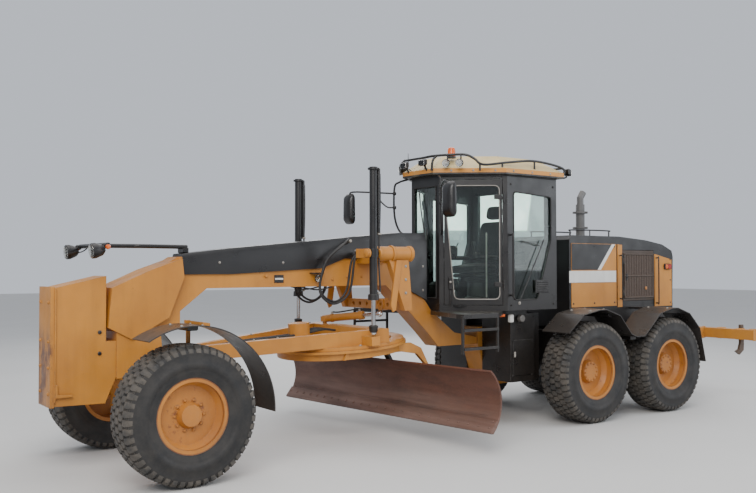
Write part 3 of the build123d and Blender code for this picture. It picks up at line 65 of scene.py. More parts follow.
def set_camera():
    data = bpy.data.cameras.new("camera")
    data.sensor_width = SENSOR_W
    data.lens = FOCAL_PIXELS * SENSOR_W / PICTURE_W
    data.clip_end = SIGHT
    camera = bpy.data.objects.new("camera", data)
    bpy.context.scene.collection.objects.link(camera)
    view = Matrix((CAMERA_RIGHT, CAMERA_UP, CAMERA_BACK)).transposed().to_4x4()
    view.translation = CAMERA_PLACE
    camera.matrix_world = view
    bpy.context.scene.camera = camera


set_camera()

# Places on the machine, in metres, from the boxes of its solids
tyre_low, tyre_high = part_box("tyre_front_left")
AXLE_X = (tyre_low[0] + tyre_high[0]) / 2
TYRE_R = (tyre_high[2] - tyre_low[2]) / 2
WHEEL_Y = (tyre_low[1] + tyre_high[1]) / 2


def run(node):
    """A solid's front and back as distances behind the front axle, and its reach to the left."""
    low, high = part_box(node)
    return AXLE_X - high[0], AXLE_X - low[0], high[1]


barrel_low, barrel_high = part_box("lift_barrel_left")
LIFT_D = AXLE_X - (barrel_low[0] + barrel_high[0]) / 2
LIFT_Y = (barrel_low[1] + barrel_high[1]) / 2
PUSH_FRONT_D, _, PUSH_Y = run("push_block")
ARMS_BACK_D = run("lift_arms")[1]
CAB_FRONT_D = run("cab_frame")[0]
ROOF_Y = run("cab_roof")[2]
HOOD_BACK_D = run("hood")[1]
TRUNNION_Z = 2.090


def at(back, y, z):
    """Place from its distance behind the front axle, to the left and above the ground."""
    return Vector((AXLE_X - back, y, z))


def places(rows, side=1):
    """Places from rows of distance behind the front axle, distance out to a side and height."""
    return [at(back, side * y, z) for back, y, z in rows]


def lengthwise(outline):
    """Outline drawn behind the front axle, turned to the frame's own direction."""
    return [(AXLE_X - back, z) for back, z in outline]


# Materials
MATERIALS = {}


class Shader:
    """A material built from few calls, ending in one Principled shader."""

    def __init__(self, name, **fixed):
        self.material = bpy.data.materials.new(name)
        self.material.use_nodes = True
        MATERIALS[name] = self.material
        self.tree = self.material.node_tree
        self.bsdf = self.tree.nodes["Principled BSDF"]
        self.place = self.node("TexCoord").outputs["Object"]
        self.facing = self.node("NewGeometry").outputs["Normal"]
        for key, value in fixed.items():
            self.bsdf.inputs[key.replace("_", " ")].default_value = value

    def put(self, target, value):
        if hasattr(value, "is_linked"):
            self.tree.links.new(value, target)
        else:
            target.default_value = value

    def node(self, kind, inputs=None):
        """Node with its inputs linked or set."""
        node = self.tree.nodes.new("ShaderNode" + kind)
        for key, value in (inputs or {}).items():
            self.put(node.inputs[key], value)
        return node

    def texture(self, kind, scale, stretch=(1, 1, 1), **more):
        mapping = self.node("Mapping", {"Vector": self.place, "Scale": stretch})
        return self.node(kind, {"Vector": mapping.outputs[0], "Scale": scale, **more})

    def noise(self, scale, detail=4, stretch=(1, 1, 1), rough=0.55):
        return self.texture("TexNoise", scale, stretch, Detail=detail, Roughness=rough).outputs[0]

    def cells(self, scale):
        return self.texture("TexVoronoi", scale).outputs["Distance"]

    def ramp(self, value, low, high, out_low=0.0, out_high=1.0):
        limits = {"From Min": low, "From Max": high, "To Min": out_low, "To Max": out_high}
        return self.node("MapRange", {"Value": value, **limits}).outputs[0]

    def math(self, how, a, b):
        node = self.node("Math", {0: a, 1: b})
        node.operation = how
        return node.outputs[0]

    def axis(self, source, letter):
        return self.node("SeparateXYZ", {0: source}).outputs[letter]

    def mix(self, factor, a, b):
        node = self.node("Mix")
        node.data_type = "RGBA"
        self.put(node.inputs["Factor"], factor)
        colours = [socket for socket in node.inputs if socket.type == "RGBA"]
        for socket, value in zip(colours, (a, b)):
            self.put(socket, value if hasattr(value, "is_linked") else (*value, 1))
        return [socket for socket in node.outputs if socket.type == "RGBA"][0]

    def soft_normal(self, radius):
        bevel = self.node("Bevel", {"Radius": radius})
        bevel.samples = 4
        return bevel.outputs[0]

    def edges(self):
        """One along sharp edges, nought on flat ground."""
        dot = self.node("VectorMath", {0: self.soft_normal(0.012), 1: self.facing})
        dot.operation = "DOT_PRODUCT"
        return self.ramp(dot.outputs["Value"], 0.99, 0.85)

    def bump(self, height, strength, distance=0.002, soften=0.0):
        node = self.node("Bump", {"Strength": strength, "Distance": distance, "Height": height})
        if soften:
            self.put(node.inputs["Normal"], self.soft_normal(soften))
        self.put(self.bsdf.inputs["Normal"], node.outputs[0])

    def set(self, colour, rough, metal=0.0):
        for key, value in (("Base Color", colour), ("Roughness", rough), ("Metallic", metal)):
            self.put(self.bsdf.inputs[key], value)


YELLOW, YELLOW_SHADE = (0.55, 0.225, 0.026), (0.43, 0.165, 0.018)
BLACK, BLACK_SHADE = (0.0095, 0.010, 0.0115), (0.006, 0.006, 0.007)
CREAM, CREAM_SHADE = (0.66, 0.53, 0.27), (0.56, 0.43, 0.2)
DUST, DRY_MUD = (0.27, 0.19, 0.115), (0.115, 0.098, 0.080)
RUST, SCRAPE = (0.16, 0.055, 0.022), (0.13, 0.05, 0.025)
PRIMER, BARE_EDGE = (0.10, 0.075, 0.06), (0.2, 0.19, 0.18)
STREAK_SHARE = 0.55
DUST_LOW_Z, DUST_HIGH_Z = 0.2, 2.2
ROOF_SEAM_Z, ROOF_BAND_H = 3.13, 0.053
SCRAPE_X, SCRAPE_Z = (5.03, 5.065), (1.45, 1.15)
SCOUR_HIGH_Z, SCOUR_LOW_Z = 0.62, 0.28


def painted(name, base, shade, rough=(0.32, 0.55), dust=0.45, rust=0.0, wear=0.5, worn=PRIMER, zone=None):
    """Old paint: cloudy colour, dust on what faces up and low down, chips along edges and spots of rust."""
    s = Shader(name)
    cloud = s.ramp(s.noise(1.7, 5), 0.35, 0.68)
    colour = s.mix(cloud, base, shade)
    if zone:
        colour = zone(s, colour)
    fine = s.noise(34, 6, rough=0.65)
    streak = s.ramp(s.noise(9, 5, stretch=(1, 1, 0.12)), 0.5, 0.78, 0, 0.3)
    colour = s.mix(streak, colour, tuple(STREAK_SHARE * c for c in shade))
    upward = s.ramp(s.axis(s.facing, "Z"), 0.35, 0.95)
    low = s.ramp(s.axis(s.place, "Z"), DUST_HIGH_Z, DUST_LOW_Z, 0.12, 0.75)
    coat = s.math("MULTIPLY", s.math("MAXIMUM", upward, low), s.ramp(fine, 0.35, 0.62, 0.35, 1.0))
    colour = s.mix(s.math("MULTIPLY", coat, dust), colour, DUST)
    chips = s.math("MULTIPLY", s.edges(), s.ramp(s.noise(22, 3), 0.45, 0.6))
    colour = s.mix(s.math("MULTIPLY", chips, wear), colour, worn)
    if rust:
        spots = s.ramp(s.noise(6, 8, rough=0.72), 0.72 - 0.25 * rust, 0.8 - 0.25 * rust)
        colour = s.mix(spots, colour, RUST)
    s.bump(fine, 0.10, 0.0015, soften=0.006)
    s.set(colour, s.ramp(s.noise(5, 4), 0.3, 0.7, rough[0] + 0.1 * dust, rough[1] + 0.2 * dust))


def roof_zone(s, colour):
    """Cream over a yellow band, with a black lower edge."""
    height = s.axis(s.place, "Z")
    low_z = ROOF_SEAM_Z + 0.005 - ROOF_BAND_H
    colour = s.mix(s.ramp(height, ROOF_SEAM_Z + 0.004, ROOF_SEAM_Z + 0.006), YELLOW, colour)
    return s.mix(s.ramp(height, low_z, low_z + 0.002), BLACK, colour)


def scraped_front(s, colour):
    """Rust where the front plate has pushed against things."""
    front = s.ramp(s.axis(s.place, "X"), *SCRAPE_X)
    low = s.ramp(s.axis(s.place, "Z"), *SCRAPE_Z)
    patch = s.ramp(s.noise(5, 9, stretch=(1, 1, 0.45), rough=0.75), 0.42, 0.52)
    return s.mix(s.math("MULTIPLY", s.math("MULTIPLY", front, low), patch), colour, SCRAPE)


def worn_steel():
    """Brown rolled steel, scoured brighter near its lower edge."""
    s = Shader("worn_steel")
    cloud = s.ramp(s.noise(2.2, 8, rough=0.7, stretch=(1, 0.35, 1)), 0.38, 0.66)
    colour = s.mix(cloud, (0.115, 0.040, 0.022), (0.036, 0.020, 0.016))
    near_edge = s.ramp(s.axis(s.place, "Z"), SCOUR_HIGH_Z, SCOUR_LOW_Z)
    scoured = s.math("MULTIPLY", near_edge, s.ramp(s.noise(4, 6, stretch=(1, 0.15, 3)), 0.28, 0.7))
    colour = s.mix(scoured, colour, (0.27, 0.17, 0.135))
    fine = s.noise(60, 5)
    colour = s.mix(s.ramp(fine, 0.6, 0.75, 0, 0.5), colour, (0.20, 0.10, 0.06))
    s.bump(fine, 0.2, 0.002, soften=0.006)
    s.set(colour, s.ramp(cloud, 0, 1, 0.42, 0.7), s.ramp(scoured, 0, 1, 0.05, 0.5))


def chrome():
    """Bright rod under a film of oil."""
    s = Shader("rod_chrome")
    film = s.ramp(s.noise(14, 4, stretch=(1, 1, 0.3)), 0.4, 0.7)
    s.set(s.mix(film, (0.72, 0.72, 0.73), (0.42, 0.40, 0.37)), s.ramp(film, 0, 1, 0.08, 0.3), 1.0)


def rubber(name, dusty, base):
    """Black rubber, greyer where it is worn and dusty in patches."""
    s = Shader(name)
    fine = s.noise(45, 6, rough=0.7)
    patch = s.ramp(s.noise(4, 5), 0.35, 0.7)
    colour = s.mix(patch, base, tuple(1.7 * c for c in base))
    mud = s.math("MULTIPLY", s.ramp(s.noise(7, 7, rough=0.7), 0.38, 0.62), dusty)
    colour = s.mix(mud, colour, DRY_MUD)
    s.bump(fine, 0.25, 0.002)
    s.set(colour, s.ramp(patch, 0, 1, 0.55, 0.85))


def glass(name, clear, film_colour):
    """Clear pane under a thin film."""
    s = Shader(name, IOR=1.45, Transmission_Weight=1.0)
    film = s.ramp(s.noise(3, 5), 0.45, 0.7)
    s.set(s.mix(film, clear, film_colour), s.ramp(film, 0, 1, 0.01, 0.05))


def reflector():
    """Silvered bowl with small facets."""
    s = Shader("reflector")
    ribs = s.cells(60)
    s.bump(ribs, 0.5, 0.002)
    s.set(s.mix(s.ramp(ribs, 0.1, 0.6), (0.95, 0.94, 0.9), (0.7, 0.7, 0.68)), 0.12, 0.9)


def lamp_glass(name, colour, deep):
    """Coloured lens of a lamp that is off."""
    s = Shader(name, Transmission_Weight=0.25, IOR=1.49)
    ribs = s.noise(70, 2, stretch=(1, 1, 0.2))
    s.bump(ribs, 0.2, 0.001)
    s.set(s.mix(s.ramp(ribs, 0.4, 0.6), colour, deep), s.ramp(ribs, 0, 1, 0.18, 0.3))


def screen():
    """Fine wire mesh on a flat sheet, its holes dark with painted shade of the hollow behind it, over the
    dark cooling fins.
    """
    s = Shader("screen")
    holes = s.cells(150)
    s.bump(holes, 0.6, 0.002)
    # Near-black cell centres are painted shade in the holes of the mesh, together with the fins' own dark
    # colour; the rims between them are the brown wire
    colour = s.mix(s.ramp(holes, 0.25, 0.6), (0.020, 0.014, 0.011), (0.085, 0.055, 0.040))
    s.set(colour, s.ramp(holes, 0, 1, 0.8, 0.5))


ORANGE, ORANGE_SHADE = (0.50, 0.185, 0.020), (0.34, 0.115, 0.013)
RUSTY, RUSTY_SHADE = (0.30, 0.10, 0.018), (0.13, 0.048, 0.018)
GREY, GREY_SHADE = (0.13, 0.13, 0.13), (0.08, 0.08, 0.08)
PALE, PALE_SHADE = (0.72, 0.71, 0.68), (0.62, 0.61, 0.58)
BROWN, BROWN_SHADE = (0.060, 0.036, 0.025), (0.038, 0.023, 0.016)
PLASTIC, PLASTIC_SHADE = (0.022, 0.0225, 0.0245), (0.014, 0.014, 0.0155)
TRIM, TRIM_SHADE = (0.018, 0.0185, 0.020), (0.010, 0.010, 0.012)
ZINC, ZINC_SHADE = (0.42, 0.40, 0.37), (0.28, 0.26, 0.23)
GLOSS = (0.24, 0.42)
painted("yellow_paint", YELLOW, YELLOW_SHADE, dust=0.22, rust=0.14)
painted("push_paint", YELLOW, YELLOW_SHADE, dust=0.22, rust=0.2, zone=scraped_front)
painted("black_paint", BLACK, BLACK_SHADE, GLOSS, dust=0.10, wear=0.25, worn=BARE_EDGE)
painted("orange_paint", ORANGE, ORANGE_SHADE, dust=0.25, rust=0.5)
painted("rusty_paint", RUSTY, RUSTY_SHADE, dust=0.3, rust=0.9)
painted("cream_paint", CREAM, CREAM_SHADE, dust=0.15, wear=0.2, zone=roof_zone)
painted("pale_paint", PALE, PALE_SHADE, dust=0.2, wear=0.3)
painted("grey_paint", GREY, GREY_SHADE, dust=0.35, rust=0.2)
painted("brown_paint", BROWN, BROWN_SHADE, dust=0.35)
painted("fender", PLASTIC, PLASTIC_SHADE, rough=(0.22, 0.38), dust=0.16, wear=0.1)
painted("interior", TRIM, TRIM_SHADE, rough=(0.5, 0.75), dust=0.15, wear=0.0)
painted("plated", ZINC, ZINC_SHADE, rough=(0.3, 0.5), dust=0.4, rust=0.3)
worn_steel()
chrome()
rubber("tyre", 0.16, (0.0095, 0.0095, 0.010))
rubber("tread", 0.75, (0.026, 0.025, 0.024))
rubber("hose", 0.2, (0.010, 0.010, 0.011))
glass("glass", (0.80, 0.92, 0.86), (0.62, 0.76, 0.70))
glass("lens", (0.95, 0.95, 0.93), (0.8, 0.8, 0.77))
reflector()
lamp_glass("amber_lens", (0.95, 0.20, 0.02), (0.75, 0.10, 0.01))
lamp_glass("red_lens", (0.55, 0.02, 0.015), (0.35, 0.01, 0.01))
screen()

SLOTS = {part["node"]: part["material_slot"] for part in frame["record"]["subparts"]}
SEEN_OTHERWISE = {"push_block": "push_paint", "lift_arms": "yellow_paint", "shift_barrel": "yellow_paint"}
for name, piece in NODES.items():
    piece.data.materials.clear()
    piece.data.materials.append(MATERIALS[SEEN_OTHERWISE.get(name, SLOTS[name])])

# Shapes


def smooth_path(points, steps):
    """Points along a curve that passes through the given ones."""
    if steps < 2 or len(points) < 3:
        return points
    ends = [2 * points[0] - points[1], *points, 2 * points[-1] - points[-2]]
    path = []
    for a, b, c, d in zip(ends, ends[1:], ends[2:], ends[3:]):
        square, cube = 2 * a - 5 * b + 4 * c - d, 3 * b - a - 3 * c + d
        for k in range(steps):
            t = k / steps
            path.append(0.5 * (2 * b + (c - a) * t + square * t**2 + cube * t**3))
    return path + [points[-1]]


def across(axis):
    """Two directions square to an axis."""
    side = axis.cross(Z if abs(axis.z) < 0.9 else X).normalized()
    return side, axis.cross(side).normalized()


def heading(u, v, angle):
    """Direction at an angle from u towards v."""
    return u * math.cos(angle) + v * math.sin(angle)


def circle(centre, u, v, radius, count):
    """Points around a circle."""
    return [centre + heading(u, v, math.tau * k / count) * radius for k in range(count)]


def rounded(corners, radius, steps=5):
    """Outline with its corners rounded, in as many dimensions as the corners have."""
    corners = [Vector(c) for c in corners]
    outline = []
    for before, here, after in zip(corners[-1:] + corners[:-1], corners, corners[1:] + corners[:1]):
        a, b = (before - here).normalized(), (after - here).normalized()
        most = 0.45 * min((before - here).length, (after - here).length)
        reach = min(radius / math.tan(a.angle(b) / 2), most)
        start, end = here + a * reach, here + b * reach
        for k in range(steps + 1):
            t = k / steps
            outline.append(start * (1 - t) ** 2 + here * 2 * t * (1 - t) + end * t**2)
    return outline


class Form:
    """Simple shapes gathered into one mesh, each face with its material."""

    def __init__(self, look):
        self.points, self.faces, self.marks, self.looks = [], [], [], []
        self.use(look)

    def use(self, look):
        if look not in self.looks:
            self.looks.append(look)
        self.mark = self.looks.index(look)
        return self

    def loft(self, rings, round_trip=False):
        """Skin over rings with as many points each, closed around each ring."""
        base, n, count = len(self.points), len(rings[0]), len(rings)
        for ring in rings:
            self.points += ring
        pairs = [(a, (a + 1) % count) for a in range(count if round_trip else count - 1)]
        faces = [
            (base + a * n + i, base + a * n + (i + 1) % n, base + b * n + (i + 1) % n, base + b * n + i)
            for a, b in pairs for i in range(n)
        ]
        if not round_trip:
            last = base + (count - 1) * n
            faces += [tuple(range(base, base + n)), tuple(range(last, last + n))]
        self.faces += faces
        self.marks += [self.mark] * len(faces)
        return self

    def block(self, centre, size, bevel=0.004, along=X, upward=Z):
        """Box with chamfered edges."""
        left = upward.cross(along).normalized()
        hx, hy, hz = (v / 2 for v in size)
        bevel = min(bevel, 0.9 * min(hx, hy, hz))
        rings = []
        for z, inset in ((-hz, bevel), (-hz + bevel, 0), (hz - bevel, 0), (hz, bevel)):
            a, b, c = hx - inset, hy - inset, bevel
            rings.append([centre + along * x + left * y + upward * z for x, y in (
                (a, b - c), (a - c, b), (c - a, b), (-a, b - c),
                (-a, c - b), (c - a, -b), (a - c, -b), (a, c - b))])
        return self.loft(rings)

    def rod(self, start, end, radius, sides=14):
        """Round bar with chamfered ends."""
        way = end - start
        far = way.length
        bevel = min(0.25 * radius, 0.3 * far)
        profile = ((0, radius - bevel), (bevel, radius), (far - bevel, radius), (far, radius - bevel))
        return self.turned(profile, start, way.normalized(), sides)

    def turned(self, profile, start, axis, sides=32):
        """Profile of places along the axis and radii, turned about it."""
        u, v = across(axis)
        return self.loft([circle(start + axis * along, u, v, radius, sides) for along, radius in profile])

    def hoop(self, section, centre, axis, sides=72):
        """Closed section of places along the axis and radii, turned about it."""
        u, v = across(axis)
        rings = []
        for k in range(sides):
            out = heading(u, v, math.tau * k / sides)
            rings.append([centre + axis * along + out * radius for along, radius in section])
        return self.loft(rings, round_trip=True)

    def band(self, centre, axis, half, inner, outer, sides):
        """Flat ring around an axis."""
        return self.hoop(((-half, inner), (half, inner), (half, outer), (-half, outer)), centre, axis, sides)

    def tube(self, points, radius, sides=10, steps=6):
        """Round tube through the points."""
        path = smooth_path([Vector(p) for p in points], steps)
        ways = [(b - a).normalized() for a, b in zip(path, path[1:])]
        ways = [ways[0]] + [(a + b).normalized() for a, b in zip(ways, ways[1:])] + [ways[-1]]
        u = across(ways[0])[0]
        rings = []
        for place, way in zip(path, ways):
            u = (u - way * u.dot(way)).normalized()
            rings.append(circle(place, u, way.cross(u), radius, sides))
        return self.loft(rings)

    def plate(self, outline, origin, along, upward, thick, bevel=0.002):
        """Flat plate with a chamfered rim, its outline drawn along and upward from its origin."""
        out = along.cross(upward).normalized()
        area = sum(a[0] * b[1] - b[0] * a[1] for a, b in zip(outline, outline[1:] + outline[:1]))
        flat = [Vector(p) for p in (outline if area > 0 else outline[::-1])]
        bevel = min(bevel, thick / 3)
        inner = []
        for before, here, after in zip(flat[-1:] + flat[:-1], flat, flat[1:] + flat[:1]):
            a, b = (here - before).normalized(), (after - here).normalized()
            turn = Vector((-a.y - b.y, a.x + b.x))
            inner.append(here + turn * (bevel / max(0.3, 0.5 * turn.length_squared)))
        rings = []
        for depth, points in ((0, inner), (bevel, flat), (thick - bevel, flat), (thick, inner)):
            rings.append([origin + along * p.x + upward * p.y + out * depth for p in points])
        return self.loft(rings)

    def bolt(self, place, axis, size):
        """Hexagon head on a washer."""
        washer = ((0, 1.75 * size), (0.2 * size, 1.75 * size), (0.3 * size, 1.6 * size))
        head = ((0.2 * size, 1.1 * size), (1.0 * size, 1.1 * size), (1.2 * size, 0.9 * size))
        return self.turned(washer, place, axis, 14).turned(head, place, axis, 6)

    def studs(self, node, starts, way, size):
        """Bolts where lines from the starts meet a solid, set half a millimetre into it."""
        tree = skin(node)
        for start in starts:
            place, normal = tree.ray_cast(start, way)[:2]
            if place is not None:
                self.bolt(place + way * 0.0005, normal if normal.dot(way) < 0 else -normal, size)
        return self

    def handle(self, top, bottom, out, radius=0.009, stand=0.045):
        """Round grab bar that stands off its wall."""
        bend = (bottom - top).normalized() * 0.035
        return self.tube([
            top, top + out * stand * 0.8, top + out * stand + bend,
            bottom + out * stand - bend, bottom + out * stand * 0.8, bottom], radius, 10, 4)

    def seal(self, corners, place, radius, corner):
        """Round bead along a window's rounded edge."""
        path = [place(p.x, p.y) for p in rounded([(a, b, 0) for a, b in corners], corner)]
        ways = [(b - a).normalized() for a, b in zip(path[-1:] + path[:-1], path[1:] + path[:1])]
        third = len(path) // 3
        normal = (path[third] - path[0]).cross(path[2 * len(path) // 3] - path[0]).normalized()
        rings = [circle(spot, normal.cross(way), normal, radius, 8) for spot, way in zip(path, ways)]
        return self.loft(rings, round_trip=True)

    def round_lamp(self, centre, axis, radius, depth=0.07):
        """Lamp with a bowl, a rim, a reflector and a bulged lens."""
        bowl = ((-depth, 0.35), (-0.8 * depth, 0.7), (-0.25 * depth, 1.0), (0.004, 1.0), (0.008, 0.93))
        mirror = ((0.006, 0.92), (0.0085, 0.90))
        lens = ((0.008, 0.93), (0.015, 0.85), (0.021, 0.5), (0.023, 0.1))
        for look, profile in (("black_paint", bowl), ("reflector", mirror), ("lens", lens)):
            self.use(look).turned([(along, share * radius) for along, share in profile], centre, axis, 28)
        return self

    def square_lamp(self, centre, axis, w, h, depth):
        """Box lamp with a rounded housing, a rim and a lens."""
        self.use("black_paint").block(centre - axis * depth / 2, (depth, w, h), 0.012, along=axis)
        self.use("reflector").block(centre + axis * 0.001, (0.004, 0.86 * w, 0.82 * h), 0.001, along=axis)
        return self.use("lens").block(centre + axis * 0.006, (0.006, 0.84 * w, 0.80 * h), 0.002, along=axis)

    def finish(self, name, body, slot, smooth=38):
        """The mesh as a piece of the scene that rides on a body."""
        mesh = bpy.data.meshes.new(name)
        mesh.from_pydata(self.points, [], self.faces)
        for look in self.looks:
            mesh.materials.append(MATERIALS[look])
        mesh.polygons.foreach_set("material_index", self.marks)
        mesh.polygons.foreach_set("use_smooth", [True] * len(mesh.polygons))
        work = bmesh.new()
        work.from_mesh(mesh)
        bmesh.ops.recalc_face_normals(work, faces=work.faces)
        work.to_mesh(mesh)
        work.free()
        mesh.set_sharp_from_angle(angle=math.radians(smooth))
        piece = bpy.data.objects.new(name, mesh)
        bpy.context.scene.collection.objects.link(piece)
        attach(piece, body)
        return piece


def skin(node):
    """Search tree over a solid's faces, for details that sit on them."""
    piece = NODES[node]
    points = [piece.matrix_world @ v.co for v in piece.data.vertices]
    return BVHTree.FromPolygons(points, [list(p.vertices) for p in piece.data.polygons])


# Wheels: tread blocks in staggered columns, rings on the walls, bolts on the discs
PITCHES = 50
WALL = (
    (0.166, 0.331), (0.186, 0.343), (0.190, 0.366), (0.203, 0.392), (0.2035, 0.398), (0.211, 0.425),
    (0.2155, 0.430), (0.2185, 0.470), (0.2150, 0.476), (0.2140, 0.515), (0.2080, 0.545), (0.2100, 0.552),
    (0.198, 0.585), (0.185, 0.597),
)
BEAD_SEAT = ((-0.15, 0.337), (0.15, 0.337))
TREAD_BASE = ((0.196, 0.590), (0.165, 0.603), (0, 0.607), (-0.165, 0.603), (-0.196, 0.590))
COLUMNS = ((-0.168, 0), (-0.084, 0.5), (0, 0), (0.084, 0.5), (0.168, 0))
LUG = (
    (-0.030, -0.022), (-0.020, -0.036), (0.024, -0.036), (0.032, 0.0),
    (0.030, 0.022), (0.020, 0.036), (-0.024, 0.036), (-0.032, 0.0),
)
LUG_STEPS = ((0.030, 1.06), (0.005, 0.99), (0.0, 0.90))
EDGE_COLUMN, EDGE_REACH = 0.1, 1.15
SHOULDER = 0.175
LOCK_RING = ((0.176, 0.330), (0.1795, 0.349), (0.1805, 0.345), (0.1795, 0.330))
RIM_LIP = ((0.150, 0.306), (0.166, 0.312), (0.168, 0.304), (0.150, 0.298))
FRONT_BOLTS = (0.081, 0.138, 10, 0.013)
BACK_BOLTS = (0.080, 0.108, 12, 0.011)


def crown(along):
    """Tread radius, lower towards the shoulders."""
    return TYRE_R - 0.30 * along**2 - max(0, abs(along) - SHOULDER) * 0.75


def lug(centre, out, middle, offset):
    """Rings of one tread block, wider outwards in the edge columns."""
    u, v = across(out)
    rings = []
    for depth, spread in LUG_STEPS:
        ring = []
        for arc, across_tread in LUG:
            outer = abs(offset) > EDGE_COLUMN and across_tread * offset >= 0
            along = offset + across_tread * spread * (EDGE_REACH if outer else 1.0)
            way = heading(u, v, middle + arc * spread / TYRE_R)
            ring.append(centre + out * along + way * (crown(along) - depth))
        rings.append(ring)
    return rings


def tyre(name, body, centre, out):
    form = Form("tyre").hoop([*WALL, *((-a, r) for a, r in WALL[::-1]), *BEAD_SEAT], centre, out, 96)
    form.use("tread").hoop(TREAD_BASE, centre, out, 96)
    for offset, stagger in COLUMNS:
        for k in range(PITCHES):
            form.loft(lug(centre, out, math.tau * (k + stagger) / PITCHES, offset))
    return form.finish(name, body, "tyre")


def wheel_bolts(name, body, centre, out, face, radius, count, size):
    """Bolts on the disc, and the rusty lips of the lock ring and the rim."""
    form = Form("rusty_paint").hoop(LOCK_RING, centre, out, 80).hoop(RIM_LIP, centre, out, 80)
    form.use("orange_paint")
    for spot in circle(centre + out * face, X, Z, radius, count):
        form.bolt(spot, out, size)
    form.finish(name, body, "orange_paint")


for row in ("front", "mid", "rear"):
    for hand, side in SIDES:
        low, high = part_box(f"tyre_{row}_{hand}")
        hub = Vector(((low[0] + high[0]) / 2, side * WHEEL_Y, TYRE_R))
        body = f"wheel_{row}_{hand}"
        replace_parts(tyre(f"tread_{row}_{hand}", body, hub, Y * side), f"tyre_{row}_{hand}")
        fixing = FRONT_BOLTS if row == "front" else BACK_BOLTS
        wheel_bolts(f"wheel_bolts_{row}_{hand}", body, hub, Y * side, *fixing)

# Push block: bolts, corner brackets and edge strips
BRACKET = ((0.0, 0.0), (0.153, 0.0), (0.153, 0.02), (0.02, 0.03), (0.02, 0.123), (0.0, 0.123))
EDGE_STRIP = ((0, 0), (0.014, 0), (0.014, 1.05), (0, 1.05))


def push_block_trim():
    form = Form("yellow_paint")
    for side in BOTH:
        for z in (1.33, 1.13):
            form.use("black_paint").bolt(at(-0.497, side * PUSH_Y, z), Y * side, 0.011)
        form.use("yellow_paint").plate(BRACKET, at(-0.903, side * 0.191, 0.744), -X, Z, 0.022 * side)
        form.plate(EDGE_STRIP, at(-0.912, side * PUSH_Y, 0.70), -X, Z, 0.010 * side)
    for y in (-0.135, 0.135):
        for z in (0.78, 1.02, 1.26, 1.62):
            form.bolt(at(PUSH_FRONT_D + 0.002, y, z), X, 0.013)
    form.finish("push_block_trim", "front_frame", "yellow_paint")


push_block_trim()

# Hood: panels, stripe, blank sign, grab bars, bolts and rear lamps
HOOD_SKIN = 0.532
HOOD_FACE = HOOD_SKIN + 0.006
HOOD_PANEL = ((5.66, 1.40), (6.585, 1.40), (6.585, 2.258), (5.66, 2.258))
BLACK_PATCH = ((5.665, 1.90), (6.185, 1.90), (6.485, 2.253), (5.665, 2.253))
STRIPE = ((6.185, 1.90), (6.255, 1.90), (6.555, 2.253), (6.485, 2.253))
SIGN = ((5.615, 1.73), (6.57, 1.73), (6.57, 1.888), (5.615, 1.888))
STRIP = ((6.605, 1.38), (6.705, 1.38), (6.705, 2.250), (6.605, 2.256))
REAR_PANEL = ((7.43, 1.37), (7.835, 1.37), (7.835, 2.050), (7.43, 2.128))
HOOD_PLATES = (
    ("yellow_paint", HOOD_PANEL, 0.0, 0.005), ("black_paint", BLACK_PATCH, 0.0045, 0.003),
    ("pale_paint", STRIPE, 0.0045, 0.003), ("pale_paint", SIGN, 0.0055, 0.004),
    ("yellow_paint", STRIP, 0.0, 0.008), ("yellow_paint", REAR_PANEL, 0.0, 0.008),
)
LAMP_Z = 1.945
GRILLE_SKIN = 0.545
SLATS = 11
LATCH_D, LATCH_Z = 6.78, 1.80


def hood_side(hand, side):
    out = Y * side
    form = Form("yellow_paint")
    for look, outline, stand, thick in HOOD_PLATES:
        lift = HOOD_SKIN + stand + (thick if side > 0 else 0)
        form.use(look).plate(lengthwise(outline), out * lift, X, Z, thick, 0.0015)
    form.use("black_paint")
    for d in (5.70, 6.12, 6.54):
        for z in (1.45, 2.225):
            form.bolt(at(d, side * (HOOD_SKIN + 0.005), z), out, 0.007)
    for d, high, low in ((6.655, 2.10, 1.50), (7.47, 2.07, 1.42)):
        form.handle(at(d, side * HOOD_FACE, high), at(d, side * HOOD_FACE, low), out)
    for z in (1.42, 1.75, 2.05):
        form.bolt(at(7.80, side * (HOOD_SKIN + 0.007), z), out, 0.007)
    form.block(at(7.72, side * (HOOD_SKIN + 0.018), LAMP_Z), (0.15, 0.036, 0.085), 0.010)
    for look, d, length in (("red_lens", 7.755, 0.066), ("amber_lens", 7.685, 0.055)):
        form.use(look).block(at(d, side * (HOOD_SKIN + 0.036), LAMP_Z), (length, 0.012, 0.065), 0.004)
    form.finish(f"hood_side_{hand}", "rear_frame", "yellow_paint")


def grille(hand, side):
    """Pressed frame, mesh and latch of a grille door."""
    low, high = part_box(f"grille_door_{hand}")
    out = Y * side
    z0, z1 = low[2] + 0.045, high[2] - 0.055
    x0, x1 = low[0] + 0.045, high[0] - 0.045
    middle = Vector(((x0 + x1) / 2, side * GRILLE_SKIN, (z0 + z1) / 2))
    form = Form("brown_paint")
    form.use("screen").block(middle + out * 0.0035, (x1 - x0, 0.005, z1 - z0), 0.001)
    form.use("brown_paint")
    for k in range(SLATS):
        shift = (x1 - x0) * ((k + 0.5) / SLATS - 0.5)
        form.block(middle + X * shift + out * 0.008, (0.010, 0.010, z1 - z0), 0.003)
    for rise in (z0 - z1, 0, z1 - z0):
        form.block(middle + Z * rise / 2 + out * 0.009, (x1 - x0 + 0.03, 0.012, 0.022), 0.004)
    for shift in (x0 - x1 - 0.024, x1 - x0 + 0.024):
        form.block(middle + X * shift / 2 + out * 0.009, (0.022, 0.012, z1 - z0 + 0.03), 0.004)
    badge = at(7.203, side * (GRILLE_SKIN + 0.014), 1.638)
    form.use("orange_paint").turned(((0, 0.024), (0.004, 0.024), (0.006, 0.020)), badge, out, 24)
    latch = at(LATCH_D, side * GRILLE_SKIN, LATCH_Z)
    form.use("black_paint").block(latch + out * 0.012, (0.028, 0.016, 0.095), 0.005)
    form.rod(latch + out * 0.016, latch + out * 0.030, 0.011)
    form.finish(f"grille_{hand}", f"grille_door_{hand}", "brown_paint")


